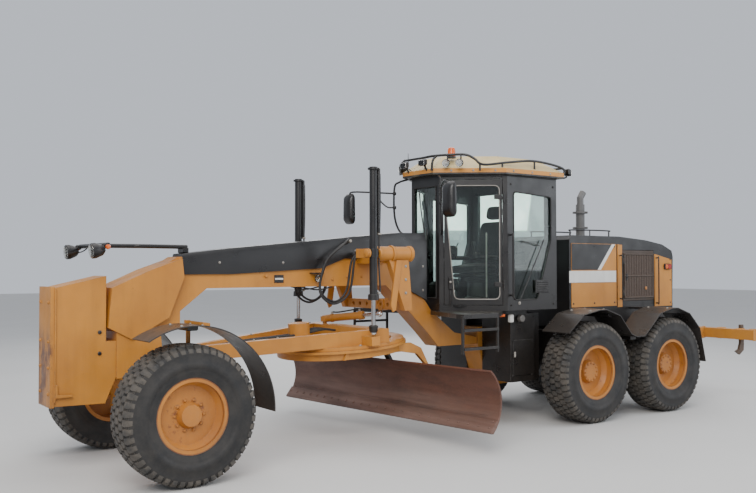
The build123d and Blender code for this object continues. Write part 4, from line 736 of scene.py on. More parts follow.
def hood_rails():
    form = Form("black_paint")
    for side in BOTH:
        y = side * 0.36
        form.handle(at(5.84, y, 2.340), at(6.64, y, 2.345), Z, 0.010, 0.105)
        form.rod(at(6.24, y, 2.34), at(6.24, y, 2.448), 0.008)
    for d, z in ((5.75, 2.352), (6.05, 2.352), (6.75, 2.34), (7.0, 2.34)):
        for y in (-0.405, 0.405):
            form.bolt(at(d, y, z), Z, 0.007)
    form.finish("hood_rails", "rear_frame", "black_paint")


def exhaust_clamps():
    low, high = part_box("exhaust")
    form = Form("grey_paint")
    for z in (2.50, 2.72):
        middle = Vector(((low[0] + high[0]) / 2, 0, z))
        form.band(middle, Z, 0.012, 0.101, 0.108, 40)
        form.block(middle + Y * 0.115, (0.02, 0.03, 0.024), 0.003)
        form.bolt(middle + Y * 0.12 + X * 0.01, X, 0.006)
    form.finish("exhaust_clamps", "rear_frame", "grey_paint")


for hand, side in SIDES:
    hood_side(hand, side)
for hand, side in SIDES:
    grille(hand, side)
hood_rails()
exhaust_clamps()

# Hose cover along the beam, rising towards the cab: distance back, lower and upper height, half width
COVER = (
    (0.35, 1.87, 2.078, 0.150), (0.90, 1.87, 2.142, 0.150), (2.00, 1.93, 2.245, 0.152),
    (2.30, 2.04, 2.275, 0.152), (3.02, 2.04, 2.345, 0.153), (3.10, 1.72, 2.350, 0.153),
    (3.50, 1.54, 2.358, 0.153),
)


def hose_cover():
    rings = []
    for d, low, high, half in COVER:
        eaves = high - 0.055 - 0.018 * d
        section = (
            (half, low), (half, eaves), (half - 0.045, high), (0, high + 0.004),
            (0.045 - half, high), (-half, eaves), (-half, low))
        rings.append([at(d, y, z) for y, z in section])
    form = Form("black_paint").loft(rings).use("plated")
    for d, z in ((0.75, 1.99), (1.50, 1.99), (2.45, 2.13), (3.30, 2.13)):
        for side in BOTH:
            form.bolt(at(d, side * 0.152, z), Y * side, 0.008)
    for z in (1.66, 1.95):
        for side in BOTH:
            form.bolt(at(3.44, side * 0.153, z), Y * side, 0.008)
    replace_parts(form.finish("hose_cover_box", "front_frame", "black_paint"), "hose_cover")


# Beam: lifting eyes, plates, flood lamps and a line on each side
EYE_D, EYE_Z = 1.30, 1.845
PLATE_D, PLATE_Z = 1.46, 1.815
FLOOD_D = 1.93
BEAM_LINE = ((1.75, 0.11, 1.722), (1.95, 0.13, 1.69), (2.15, 0.12, 1.72))


def beam_details():
    """Lifting eyes, blank plates, flood lamps, bolts and small lines along the beam."""
    form = Form("yellow_paint")
    for side in BOTH:
        form.use("yellow_paint").rod(at(EYE_D, side * 0.125, EYE_Z), at(EYE_D, side * 0.150, EYE_Z), 0.016)
        form.use("interior").block(at(PLATE_D, side * 0.131, PLATE_Z), (0.115, 0.006, 0.085), 0.002)
        form.use("pale_paint").block(at(PLATE_D, side * 0.134, PLATE_Z), (0.100, 0.004, 0.020), 0.001)
        form.use("black_paint").block(at(FLOOD_D, side * 0.150, 1.875), (0.17, 0.045, 0.012), 0.003)
        aim = Vector((0.2, side, -0.35)).normalized()
        form.round_lamp(at(FLOOD_D, side * 0.185, 1.815), aim, 0.042, 0.05).use("yellow_paint")
        for d, z in ((2.15, 1.80), (2.35, 1.83), (2.55, 1.83)):
            form.bolt(at(d, side * 0.128, z), Y * side, 0.010)
        form.use("hose").tube(places(BEAM_LINE, side), 0.008)
    form.finish("beam_details", "front_frame", "yellow_paint")


# Lamp bar: two tubes over the nose, a cross tube and round lamps
BAR_D, BAR_Z = -0.500, 2.150
BAR_LAMP_Y = 0.40
LAMP_NECK = ((-0.53, 2.13), (-0.55, 2.11), (-0.565, 2.10))
SIDE_LAMP = ((0, 0.022), (0.02, 0.022), (0.034, 0.015), (0.038, 0.004))


def lamp_bar():
    form = Form("black_paint")
    for y in (-0.06, 0.06):
        form.tube([at(0.430, y, BAR_Z), at(0.0, y, BAR_Z + 0.002), at(BAR_D, y, BAR_Z)], 0.020, 14, 3)
    form.rod(at(BAR_D, -0.43, BAR_Z), at(BAR_D, 0.43, BAR_Z), 0.022, 16)
    form.block(at(0.415, 0, 2.115), (0.06, 0.15, 0.06), 0.008)
    form.block(at(-0.10, 0, BAR_Z), (0.05, 0.17, 0.022), 0.005)
    for side in (-1, 1):
        y = side * BAR_LAMP_Y
        form.use("black_paint").block(at(-0.525, y, 2.140), (0.055, 0.05, 0.05), 0.010)
        form.tube([at(d, y, z) for d, z in LAMP_NECK], 0.016)
        form.round_lamp(at(-0.640, y, 2.092), Vector((1, 0, -0.10)).normalized(), 0.072, 0.115)
        form.use("amber_lens").turned(SIDE_LAMP, at(-0.515, y + side * 0.055, 2.13), Y * side, 16)
        wire = ((-0.55, y, 2.08), (-0.50, y * 0.85, 2.10), (-0.49, y * 0.6, 2.127))
        form.use("hose").tube(places(wire), 0.006)
    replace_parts(form.finish("lamp_bar", "front_frame", "black_paint"), "light_bar")


# Lift arms: caps, collars, bolts and webs on the castings, and the link bar's lock
ARM_Y = 0.600
ARM_CAP = ((-0.012, 0.086), (0.0, 0.090), (0.026, 0.090), (0.034, 0.080), (0.036, 0.060))
ARM_WEB = ((-0.18, 0.0), (-0.10, 0.0), (-0.02, -0.50), (-0.05, -0.58), (-0.09, -0.56))
PIN_CAP = ((0, 0.044), (0.014, 0.044), (0.020, 0.036))
LINK_Z, LOCK_Y = 1.505, 0.14


def lift_arm_details():
    form = Form("yellow_paint")
    for side in BOTH:
        y = side * ARM_Y
        form.use("yellow_paint").turned(ARM_CAP, at(2.865, y, TRUNNION_Z), -X, 32)
        form.band(at(2.62, y, TRUNNION_Z), X, 0.014, 0.080, 0.092, 40)
        form.band(at(2.40, y, TRUNNION_Z), X, 0.012, 0.080, 0.090, 40)
        for spot in circle(at(ARMS_BACK_D, y, TRUNNION_Z), Y, Z, 0.058, 6):
            form.use("plated").bolt(spot, -X, 0.009)
        form.use("yellow_paint").plate(ARM_WEB, at(2.56, side * 0.657, 2.02), X, Z, 0.022)
        for z in (1.95, 1.80, 1.65):
            form.use("plated").bolt(at(2.80, side * 0.640, z), Y * side, 0.010)
        for fore in BOTH:
            pin = at(LIFT_D - fore * 0.082, side * LIFT_Y, TRUNNION_Z)
            form.use("yellow_paint").turned(PIN_CAP, pin, X * fore, 24)
    for y in (-0.49, -0.35, -0.21, -0.07, 0.07, 0.21, 0.35, 0.49):
        form.block(at(2.893, y, LINK_Z), (0.008, 0.05, 0.10), 0.003)
    form.band(at(2.85, LOCK_Y, LINK_Z), X, 0.05, 0.052, 0.070, 32)
    form.use("plated").rod(at(ARMS_BACK_D, LOCK_Y, LINK_Z), at(2.93, LOCK_Y, LINK_Z), 0.030, 20)
    form.finish("lift_arm_details", "front_frame", "yellow_paint")


# Lift cylinders: gland, cap, hose guard, pressure line and the rod's eye
GLAND = ((0, 0.030), (0.055, 0.030), (0.06, 0.058), (0.0, 0.061))
CAP = ((0, 0.050), (0.02, 0.050), (0.02, 0.0615), (0.0, 0.0615))
ROD_EYE = ((0, 0.030), (0.02, 0.046), (0.075, 0.050), (0.085, 0.036))
LIFT_LINE = ((0.085, 1.66), (0.088, 1.74), (0.072, 2.00), (0.080, 2.30), (0.088, 2.6), (0.086, 2.95))


def lift_lines(hand, side):
    def spot(behind, z):
        return at(LIFT_D, side * LIFT_Y, z) - X * behind

    form = Form("black_paint").hoop(GLAND, spot(0, 1.588), Z, 32).hoop(CAP, spot(0, 2.99), Z, 32)
    form.block(spot(0.062, 2.66), (0.030, 0.060, 0.70), 0.008)
    form.use("plated").rod(spot(0.058, 1.66), spot(0.088, 1.66), 0.016, 12)
    form.rod(spot(0.055, 2.95), spot(0.085, 2.95), 0.014, 12)
    form.use("hose").tube([spot(behind, z) for behind, z in LIFT_LINE], 0.010)
    form.use("plated").block(spot(0.07, 2.30), (0.04, 0.05, 0.02), 0.003)
    form.finish(f"lift_lines_{hand}", f"lift_barrel_{hand}", "black_paint")
    eye = Form("black_paint").turned(ROD_EYE, spot(0, 1.235), Z, 28)
    eye.finish(f"lift_eye_{hand}", f"lift_rod_{hand}", "black_paint")


# Hoses in a loop beside the saddle: distance back and height, then two hoses with their shift and growth
LOOP = (
    (2.165, 2.162), (2.007, 1.997), (1.917, 1.749), (1.981, 1.607), (2.138, 1.56), (2.271, 1.689),
    (2.335, 1.998),
)
LOOP_Y, LOOP_MIDDLE_D, LOOP_MIDDLE_Z = 0.235, 2.14, 1.8
LOOP_HOSES = ((0.0, 0.0), (0.028, 0.022))
PORT_D, PORT_Z = 2.36, 2.235
LOOP_END_Y, LOOP_END_Z = 0.24, 2.10


def beam_hoses():
    form = Form("hose")
    for side in BOTH:
        for shift, grow in LOOP_HOSES:
            points = [at(PORT_D, side * 0.15, PORT_Z + shift)]
            for d, z in LOOP:
                back = d + (grow if d > LOOP_MIDDLE_D else -grow)
                up = z - grow * (1 if z < LOOP_MIDDLE_Z else -0.6)
                points.append(at(back, side * (LOOP_Y + shift), up))
            points.append(at(2.42, side * LOOP_END_Y, LOOP_END_Z))
            form.use("hose").tube(points, 0.0125, 10, 7)
        form.use("plated").rod(at(PORT_D, side * 0.14, PORT_Z), at(PORT_D, side * 0.19, 2.24), 0.018, 12)
        form.use("black_paint").block(at(2.43, side * LOOP_END_Y, LOOP_END_Z), (0.05, 0.08, 0.05), 0.008)
    form.finish("beam_hoses", "front_frame", "tyre")


# Shift cylinder: gland, cap, ports and line, along its own axis
SHIFT_START, SHIFT_END = Vector((1.709837, -0.45, 1.324879)), Vector((1.349144, 0.18, 1.399221))
SHIFT_GLAND = ((0, 0.026), (0.06, 0.026), (0.06, 0.050), (0.0, 0.052))
SHIFT_CAP = ((0, 0.040), (0.03, 0.040), (0.03, 0.0505), (0.0, 0.0505))
SHIFT_LINE = ((0.47, 0.07), (0.42, 0.075), (0.2, 0.062), (0.12, 0.07))


def shift_ports():
    way = (SHIFT_END - SHIFT_START).normalized()
    upward = (Z - way * way.z).normalized()

    def spot(along, rise):
        return SHIFT_START + way * along + upward * rise

    form = Form("yellow_paint").hoop(SHIFT_GLAND, spot(0.46, 0), way, 32)
    form.hoop(SHIFT_CAP, spot(0.09, 0), way, 32).use("plated")
    for along in (0.11, 0.47):
        form.rod(spot(along, 0.04), spot(along, 0.075), 0.014, 12)
    form.use("hose").tube([spot(along, rise) for along, rise in SHIFT_LINE], 0.009)
    form.finish("shift_ports", "shift_barrel", "yellow_paint")


# Drawbar: hoses along it as distance back, spread, shift and height, and bolts on its top
DRAWBAR_RUN = (
    (0.80, 1.0, 0.0, 1.12), (1.2, 0.8, 0.0, 1.16), (1.7, 1.2, 0.0, 1.19), (2.05, 2.0, -0.02, 1.24),
    (2.25, 1.5, -0.05, 1.22),
)
ABOVE_DRAWBAR_Z = 1.6


def drawbar_hoses():
    form = Form("hose")
    for y in (-0.05, 0.0, 0.05):
        form.tube([at(d, y * spread + shift, z) for d, spread, shift, z in DRAWBAR_RUN], 0.013, 10, 5)
    form.finish("drawbar_hoses", "drawbar", "tyre")


def drawbar_bolts():
    ears = ((LIFT_D - 0.10, LIFT_Y - 0.10), (LIFT_D + 0.10, LIFT_Y - 0.10))
    legs = [(d, 0.50 * (d - 0.25) / 2.2 + 0.05) for d in (1.1, 1.35, 1.6)]
    form = Form("plated")
    for spots, size in ((ears, 0.012), (legs, 0.010)):
        starts = [at(d, side * y, ABOVE_DRAWBAR_Z) for side in BOTH for d, y in spots]
        form.studs("drawbar", starts, -Z, size)
    form.finish("drawbar_bolts", "drawbar", "yellow_paint")


# Blade: bolts along the cutting edge and the end bits, front and back
BLADE_TURN = math.radians(5)
EDGE_BOLTS, EDGE_RUN = 24, 3.52
EDGE_BOLT_Z, END_BOLT_Z = 0.285, 0.34
EDGE_BOLT = ((0.0, 0.016), (0.004, 0.016), (0.008, 0.011))
OFF_BLADE = 0.9


def edge_bolts():
    along = Vector((math.sin(BLADE_TURN), math.cos(BLADE_TURN), 0))
    front = Vector((math.cos(BLADE_TURN), -math.sin(BLADE_TURN), 0))
    low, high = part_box("moldboard")
    middle = Vector(((low[0] + high[0]) / 2, (low[1] + high[1]) / 2, 0))
    tree = skin("moldboard")
    form = Form("worn_steel")
    for fore in (front, -front):
        for k in range(EDGE_BOLTS + 1):
            for z in (EDGE_BOLT_Z,) if 0 < k < EDGE_BOLTS else (EDGE_BOLT_Z, END_BOLT_Z):
                start = middle + along * EDGE_RUN * (k / EDGE_BOLTS - 0.5) + fore * OFF_BLADE + Z * z
                place, normal = tree.ray_cast(start, -fore)[:2]
                if place is not None:
                    form.turned(EDGE_BOLT, place, normal if normal.dot(fore) > 0 else -normal, 14)
    form.finish("edge_bolts", "moldboard", "worn_steel")


hose_cover()
beam_details()
lamp_bar()
lift_arm_details()
for hand, side in SIDES:
    lift_lines(hand, side)
beam_hoses()
shift_ports()
drawbar_hoses()
drawbar_bolts()
edge_bolts()

# Cab doors: window seals, hinges, locks and grab bars, measured from the doorway's rear post
POST_D, POST_Y, FRONT_D, FRONT_Y = 4.240, 0.790, 3.600, 0.270
DOOR_PANE = ((0.095, 1.550), (0.095, 2.930), (0.735, 2.930), (0.735, 2.600), (0.640, 1.550))
LOCK_A = 0.69
LOCK_PULL = ((1.66, 0.02), (1.63, 0.045), (1.60, 0.055), (1.48, 0.05))


def door_trim(hand, side):
    post = at(POST_D, side * POST_Y, 0)
    way = (at(FRONT_D, side * FRONT_Y, 0) - post).normalized()
    out = Z.cross(way) * side

    def spot(along, z, stand=0.004):
        return post + way * along + Z * z + out * stand

    form = Form("plated").seal(DOOR_PANE, spot, 0.0065, 0.07).use("black_paint")
    for z in (1.730, 2.790):
        form.block(spot(0.115, z, 0.010), (0.09, 0.012, 0.055), 0.003, along=way)
    form.block(spot(LOCK_A, 1.74, 0.018), (0.05, 0.030, 0.15), 0.008, along=way)
    form.tube([spot(LOCK_A, z, stand) for z, stand in LOCK_PULL], 0.009)
    form.use("plated").rod(spot(LOCK_A, 1.76, 0.03), spot(LOCK_A, 1.76, 0.042), 0.014, 16)
    form.handle(spot(0.25, 2.33, -0.020), spot(0.25, 1.60, -0.020), out, 0.010, -0.045)
    form.finish(f"door_trim_{hand}", f"cab_door_{hand}", "black_paint")


# Cab: seals, wipers, bolts, grab bars and vents of the side panes, beads under the roof and the windscreen
CAB_WALL_Y = 0.792
SIDE_PANE = ((4.345, 2.860), (5.000, 2.820), (5.000, 2.280), (4.760, 1.540), (4.345, 1.540))
WIPER = ((4.845, 0.81, 2.278), (4.70, 0.815, 2.02), (4.437, 0.805, 1.538))
WIPER_ARM = ((4.80, 0.808, 2.20), (4.60, 0.812, 2.24), (4.45, 0.806, 2.26))
ROOF_BEAD = ((3.60, 0.29, 3.055), (4.235, 0.795, 3.055), (5.095, 0.795, 3.055))
ROOF_BOLT_Z = 3.105
FRONT_WIPER = ((3.585, -0.10, 2.90), (3.575, -0.04, 2.60), (3.580, 0.05, 2.20))
VENT_D, WINDSCREEN_D = 4.83, CAB_FRONT_D - 0.004


def side_pane(form, side):
    out = Y * side

    def wall(d, z):
        return at(d, side * CAB_WALL_Y, z)

    form.use("interior").seal(SIDE_PANE, wall, 0.008, 0.05)
    form.use("black_paint").tube(places(WIPER, side), 0.007)
    form.tube(places(WIPER_ARM, side), 0.005)
    form.use("plated").bolt(wall(4.437, 1.50), out, 0.012)
    form.use("black_paint")
    for d in (4.30, 5.04):
        for z in (1.48, 2.95):
            form.bolt(wall(d, z) - out * 0.001, out, 0.009)
    form.handle(wall(4.285, 2.33), wall(4.285, 1.60), out, 0.011, 0.05)
    form.block(at(VENT_D, side * 0.796, 1.70), (0.24, 0.010, 0.16), 0.003)
    for k in range(5):
        form.block(at(VENT_D, side * 0.803, 1.645 + 0.027 * k), (0.20, 0.012, 0.010), 0.002)


def roof_bead(form, side):
    form.tube(places(ROOF_BEAD, side), 0.012, 8, 1).use("plated")
    for d in (4.30, 4.62, 4.94):
        form.bolt(at(d, side * ROOF_Y, ROOF_BOLT_Z), Y * side, 0.008)
    rear, front = places(((4.18, ROOF_Y, ROOF_BOLT_Z), (3.48, 0.30, ROOF_BOLT_Z)), side)
    for share in (0.15, 0.45, 0.75):
        form.bolt(rear.lerp(front, share), Vector((0.54, 0.70 * side, 0)).normalized(), 0.008)


def cab_trim():
    form = Form("black_paint")
    for side in BOTH:
        side_pane(form, side)
        roof_bead(form, side)
    form.use("interior")
    for y in (-0.215, 0.215):
        form.block(at(WINDSCREEN_D, y, 2.245), (0.014, 0.016, 1.36), 0.004)
    for z in (1.562, 2.928):
        form.block(at(WINDSCREEN_D, 0, z), (0.014, 0.44, 0.016), 0.004)
    form.use("black_paint").tube(places(FRONT_WIPER), 0.008)
    form.use("hose").block(at(3.585, 0.05, 2.10), (0.010, 0.016, 0.62), 0.003)
    form.finish("cab_trim", "front_frame", "black_paint")


# Roof: rail with its posts, beacon, work lamps and aerials
ROOF_TOP_Z = 3.09
RAIL_CORNER = (5.185, 0.82, 3.195)
RAIL = (
    (5.190, 0.82, 3.085), RAIL_CORNER, (4.718, 0.80, 3.255), (4.269, 0.80, 3.212),
    (3.900, 0.74, 3.165), (3.820, 0.67, 3.235), (3.745, 0.60, 3.285), (3.640, 0.48, 3.292),
    (3.500, 0.30, 3.285), (3.460, 0.15, 3.275), (3.458, 0, 3.275),
)
RAIL_POSTS = ((4.70, 0.80, 3.255), (4.16, 0.79, 3.20), (3.86, 0.72, 3.19))
FRONT_POST = ((3.52, 0.32, 3.285), (3.46, 0.32, 3.22), (3.45, 0.31, 3.10))
LAMP_Y, REAR_LAMP_Y = 0.18, 0.76
REAR_LAMP_ARM = ((5.18, REAR_LAMP_Y, 3.09), (5.27, REAR_LAMP_Y, 3.08), (5.33, REAR_LAMP_Y, 3.10))
LAMP_WIRE = ((3.44, 0.18, 3.19), (3.50, 0.12, 3.13), (3.53, 0.05, 3.12))
BEACON_D, BEACON_Y = 3.74, 0.34
BEACON_FOOT = ((0, 0.056), (0.018, 0.056), (0.022, 0.050))
BEACON = ((0, 0.050), (0.07, 0.048), (0.100, 0.040), (0.110, 0.020))
AERIAL = ((0, 0.012), (0.02, 0.008), (0.03, 0.003), (0.12, 0.002))
STUB = ((0, 0.010), (0.02, 0.006), (0.14, 0.003))


def roof_side(form, side):
    form.use("black_paint").tube(places(RAIL, side), 0.015, 12, 6)
    for d, y, z in RAIL_POSTS:
        form.rod(at(d, side * y, ROOF_TOP_Z), at(d, side * y, z), 0.012, 12)
    form.tube(places(FRONT_POST, side), 0.014, 12, 5)
    for d, y in ((3.70, 0.56), (3.60, 0.43)):
        form.use("black_paint").rod(at(d, side * y, 3.28), at(d, side * y, 3.215), 0.010, 10)
        aim = Vector((0.8, side * 0.55, -0.2)).normalized()
        form.round_lamp(at(d - 0.045, side * (y + 0.02), 3.185), aim, 0.048, 0.09)
    form.use("black_paint").tube(places(REAR_LAMP_ARM, side), 0.011, 10, 4)
    aim = Vector((-1, 0, -0.25)).normalized()
    form.square_lamp(at(5.375, side * REAR_LAMP_Y, 3.15), aim, 0.10, 0.085, 0.06)
    form.use("black_paint").rod(at(3.50, side * LAMP_Y, 3.10), at(3.43, side * LAMP_Y, 3.20), 0.012, 10)
    aim = Vector((1, 0, -0.15)).normalized()
    form.square_lamp(at(3.395, side * LAMP_Y, 3.205), aim, 0.12, 0.08, 0.055)
    form.use("hose").tube(places(LAMP_WIRE, side), 0.005)


def rail_and_lamps():
    form = Form("black_paint")
    for side in BOTH:
        roof_side(form, side)
    form.rod(*places([RAIL_CORNER], -1), *places([RAIL_CORNER]), 0.014, 12)
    form.use("black_paint").turned(BEACON_FOOT, at(BEACON_D, BEACON_Y, 3.270), Z, 28)
    form.use("amber_lens").turned(BEACON, at(BEACON_D, BEACON_Y, 3.292), Z, 28)
    form.use("black_paint").turned(AERIAL, at(4.55, -0.30, 3.285), Z, 10)
    form.turned(AERIAL, at(4.75, 0.10, 3.280), Z, 10)
    form.turned(STUB, at(3.46, -0.16, 3.22), Z, 10)
    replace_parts(form.finish("rail_and_lamps", "front_frame", "black_paint"), "roof_rail")


# Mirrors: rounded housings on bent arms beside an upright tube
TUBE_D, TUBE_Y = 3.47, 0.46
ARM_Z, BRACE_Z = 2.88, 2.70
UPRIGHT = (
    (3.56, 0.30, 3.05), (3.50, 0.40, 3.02), (TUBE_D, TUBE_Y, 2.95), (TUBE_D, TUBE_Y, 2.60),
    (3.52, 0.42, 2.40), (3.585, 0.33, 2.34),
)
MIRROR_ARM = (
    (TUBE_D, TUBE_Y, ARM_Z), (3.30, 0.68, 2.90), (3.145, 0.90, 2.915), (3.125, 0.97, 2.89),
    (3.125, 0.98, 2.80),
)
MIRROR_BRACE = ((TUBE_D, TUBE_Y, BRACE_Z), (3.40, 0.55, 2.72), (3.30, 0.68, 2.89))
MIRROR_D, MIRROR_Y, MIRROR_Z = 3.165, 1.0, 2.70
MIRROR_FACE = ((-0.105, -0.20), (0.105, -0.20), (0.095, 0.20), (-0.095, 0.20))
MIRROR_BACK = ((0.0, 0.95), (0.010, 1.0), (0.035, 0.97), (0.065, 0.82), (0.082, 0.55), (0.088, 0.25))


def mirror(form, side):
    form.use("black_paint").tube(places(UPRIGHT, side), 0.013, 12, 6)
    form.tube(places(MIRROR_ARM, side), 0.011, 12, 6).tube(places(MIRROR_BRACE, side), 0.010, 10, 5)
    for z in (ARM_Z, BRACE_Z):
        form.block(at(TUBE_D, side * TUBE_Y, z), (0.04, 0.04, 0.045), 0.008)
    outline = rounded(MIRROR_FACE, 0.065)
    centre = at(MIRROR_D, side * MIRROR_Y, MIRROR_Z)
    form.loft([
        [centre + X * depth + Y * p.x * scale + Z * p.y * scale for p in outline]
        for depth, scale in MIRROR_BACK])
    glass_outline = [(p.x * 0.88, p.y * 0.90) for p in outline]
    form.use("reflector").plate(glass_outline, centre - X * 0.003, Y, Z, 0.003, 0.001)


def mirrors():
    form = Form("black_paint")
    for side in BOTH:
        mirror(form, side)
    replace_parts(form.finish("mirror_housings", "front_frame", "black_paint"), "mirrors")


# Seat with armrests and controls, console, pedals and floor mat
SEAT_D, CONSOLE_D = 4.45, 3.86
SEAT_FOOT = ((0, 0.16), (0.03, 0.16), (0.05, 0.12), (0.22, 0.11), (0.25, 0.15), (0.28, 0.15))
KNOB = ((0, 0.016), (0.06, 0.014), (0.085, 0.026), (0.12, 0.030), (0.15, 0.022))
ARMREST_Y = 0.29


def armrest(form, side):
    y = side * ARMREST_Y
    form.use("interior").block(at(SEAT_D - 0.05, y, 2.06), (0.40, 0.085, 0.055), 0.022)
    form.rod(at(SEAT_D + 0.10, side * 0.27, 1.86), at(SEAT_D + 0.10, y, 2.05), 0.022, 12)
    form.block(at(SEAT_D - 0.26, y, 2.08), (0.10, 0.10, 0.09), 0.025)
    lean = Vector((0.15, 0, 1)).normalized()
    form.use("black_paint").turned(KNOB, at(SEAT_D - 0.29, y, 2.11), lean, 18)


def seat_frame():
    form = Form("interior").turned(SEAT_FOOT, at(SEAT_D, 0, 1.52), Z, 28)
    form.block(at(SEAT_D, 0, 1.83), (0.44, 0.44, 0.05), 0.015)
    for side in BOTH:
        armrest(form, side)
    form.use("interior").block(at(CONSOLE_D, 0, 1.62), (0.20, 0.34, 0.28), 0.04)
    form.rod(at(CONSOLE_D, 0, 1.70), at(CONSOLE_D + 0.12, 0, 2.10), 0.045, 16)
    form.block(at(CONSOLE_D + 0.11, 0, 2.13), (0.12, 0.30, 0.16), 0.035)
    form.use("plated").block(at(CONSOLE_D + 0.17, 0, 2.155), (0.01, 0.22, 0.10), 0.003)
    form.use("hose").block(at(4.25, 0, 1.468), (1.05, 0.96, 0.012), 0.004).use("interior")
    ahead, upward = Vector((1, 0, 0.5)).normalized(), Vector((-0.5, 0, 1)).normalized()
    for side in BOTH:
        form.block(at(4.00, side * 0.13, 1.52), (0.20, 0.10, 0.03), 0.012, ahead, upward)
    form.block(at(4.98, 0, 1.72), (0.10, 1.10, 0.46), 0.03)
    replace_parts(form.finish("seat_frame_and_console", "front_frame", "interior"), "cab_interior")


# Pads: sides as share of thickness and of width, a crowned top and a seam round the edge
PAD_SIDE = (
    (0, 0.90), (0.10, 0.985), (0.30, 1.0), (0.46, 0.985), (0.5, 0.97), (0.54, 0.985), (0.72, 1.0),
    (0.90, 0.97), (0.97, 0.90), (1.0, 0.78),
)
CROWN_STEPS = 6
CUSHION = ((-0.25, -0.24), (0.25, -0.24), (0.25, 0.24), (-0.25, 0.24))
BACKREST = ((-0.24, 0.0), (0.24, 0.0), (0.20, 0.58), (-0.20, 0.58))
HEAD_REST = ((-0.13, 0.0), (0.13, 0.0), (0.12, 0.17), (-0.12, 0.17))
BACK_UP = Vector((-0.16, 0, 1)).normalized()


def pad(name, outline, thick, origin, along, upward, rise=0.03):
    out = along.cross(upward).normalized()
    flat = rounded(outline, 0.07, 6)
    middle = sum(flat, Vector((0, 0))) / len(flat)

    def ring(scale, height):
        inward = [middle + (p - middle) * scale for p in flat]
        return [origin + along * p.x + upward * p.y + out * height for p in inward]

    rings = [ring(scale, thick * depth) for depth, scale in PAD_SIDE]
    for step in range(1, CROWN_STEPS):
        share = 1 - step / CROWN_STEPS
        rings.append(ring(PAD_SIDE[-1][1] * share, thick + rise * (1 - share**2)))
    piece = Form("interior").loft(rings).finish(name, "front_frame", "interior", smooth=60)


# Steps: marker lamp, blank box, plug, cover and latch beside each ladder
def step_boxes():
    form = Form("black_paint")
    for side in BOTH:
        out = Y * side
        form.use("amber_lens").block(at(4.211, side * 0.722, 1.353), (0.09, 0.02, 0.035), 0.006)
        form.use("pale_paint").block(at(4.379, side * 0.700, 1.311), (0.065, 0.05, 0.10), 0.008)
        plug = ((0, 0.045), (0.05, 0.045), (0.056, 0.038))
        form.use("grey_paint").turned(plug, at(4.56, side * 0.67, 1.305), out, 24).use("black_paint")
        for d, z in ((4.45, 0.60), (4.78, 0.60), (4.45, 1.02), (4.78, 1.02)):
            form.bolt(at(d, side * 0.661, z), out, 0.010)
        form.block(at(4.62, side * 0.665, 0.82), (0.36, 0.012, 0.44), 0.004)
        form.use("plated").block(at(4.47, side * 0.676, 0.86), (0.03, 0.014, 0.07), 0.004)
    form.finish("step_boxes", "front_frame", "black_paint")


# Fenders and tandem cases: bolts found by lines from above and from outside
ABOVE_FENDER_Z, OUTSIDE_Y = 2.0, 1.6


def fender_bolts(hand, side):
    """Clamp and bolts of a front fender, and bolts of the rear fenders."""
    tops = [at(d, side * y, ABOVE_FENDER_Z) for d in (-0.10, 0.10) for y in (0.92, 1.18)]
    form = Form("plated").studs(f"front_fender_{hand}", tops, -Z, 0.010)
    form.use("black_paint").block(at(0.0, side * 1.05, 1.405), (0.10, 0.30, 0.05), 0.008)
    form.finish(f"fender_clamp_{hand}", f"knuckle_{hand}", "fender")
    tops = [at(d, side * y, ABOVE_FENDER_Z) for d in (5.25, 5.50, 6.80, 7.05) for y in (0.90, 1.20)]
    rear = Form("plated").studs("rear_fenders", tops, -Z, 0.010)
    rear.finish(f"fender_bolts_{hand}", "rear_frame", "fender")


def tandem_bolts():
    form = Form("plated")
    for side in BOTH:
        starts = [at(d, side * OUTSIDE_Y, z) for d in (5.75, 6.0, 6.25, 6.5) for z in (0.52, 0.74)]
        form.studs("tandem_cases", starts, -Y * side, 0.012)
    form.finish("tandem_bolts", "rear_frame", "grey_paint")


# Ripper: two shanks with claws, holders with pins, pivot caps and end plates
SHANK = (
    (9.085, 1.055), (9.165, 1.055), (9.175, 0.76), (9.165, 0.66), (9.06, 0.60), (8.955, 0.655),
    (9.045, 0.685), (9.085, 0.78),
)
SHANK_Y = (0.87, -0.512)
HOLDER_Y, HOLDER_Z = (-1.066, -0.533, 0, 0.533, 0.849, 1.066), 0.915
PIVOT_D, PIVOT_Z = 8.47, 0.86
PIVOT_CAP = ((0, 0.050), (0.012, 0.050), (0.018, 0.042))
PIVOT_PIN = ((0, 0.030), (0.030, 0.030), (0.036, 0.022))


def ripper_shanks():
    form = Form("brown_paint")
    for y in SHANK_Y:
        form.plate(lengthwise(SHANK), Y * y, X, Z, 0.042, 0.006)
    form.finish("ripper_shanks", "ripper", "brown_paint")


def ripper_details():
    form = Form("yellow_paint")
    for y in HOLDER_Y:
        form.use("yellow_paint").block(at(9.10, y, HOLDER_Z), (0.14, 0.11, 0.17), 0.012)
        form.use("plated").rod(at(9.13, y - 0.07, 0.93), at(9.13, y + 0.07, 0.93), 0.014, 12)
    for side in BOTH:
        out = Y * side
        form.use("yellow_paint").turned(PIVOT_CAP, at(PIVOT_D, side * 0.325, PIVOT_Z), out, 28)
        form.use("plated").turned(PIVOT_PIN, at(PIVOT_D, side * 0.343, PIVOT_Z), out, 20)
        form.use("yellow_paint").block(at(9.04, side * 1.147, HOLDER_Z), (0.17, 0.012, 0.17), 0.004)
    form.finish("ripper_details", "ripper", "yellow_paint")


# Rear wall of the hood: grille, lamps and blank plate
REAR_D = HOOD_BACK_D + 0.005
GRILLE_W, GRILLE_Z = 0.80, 1.72
REAR_SLATS, SLAT_PITCH = 9, 0.05
TAIL_Z = 1.37


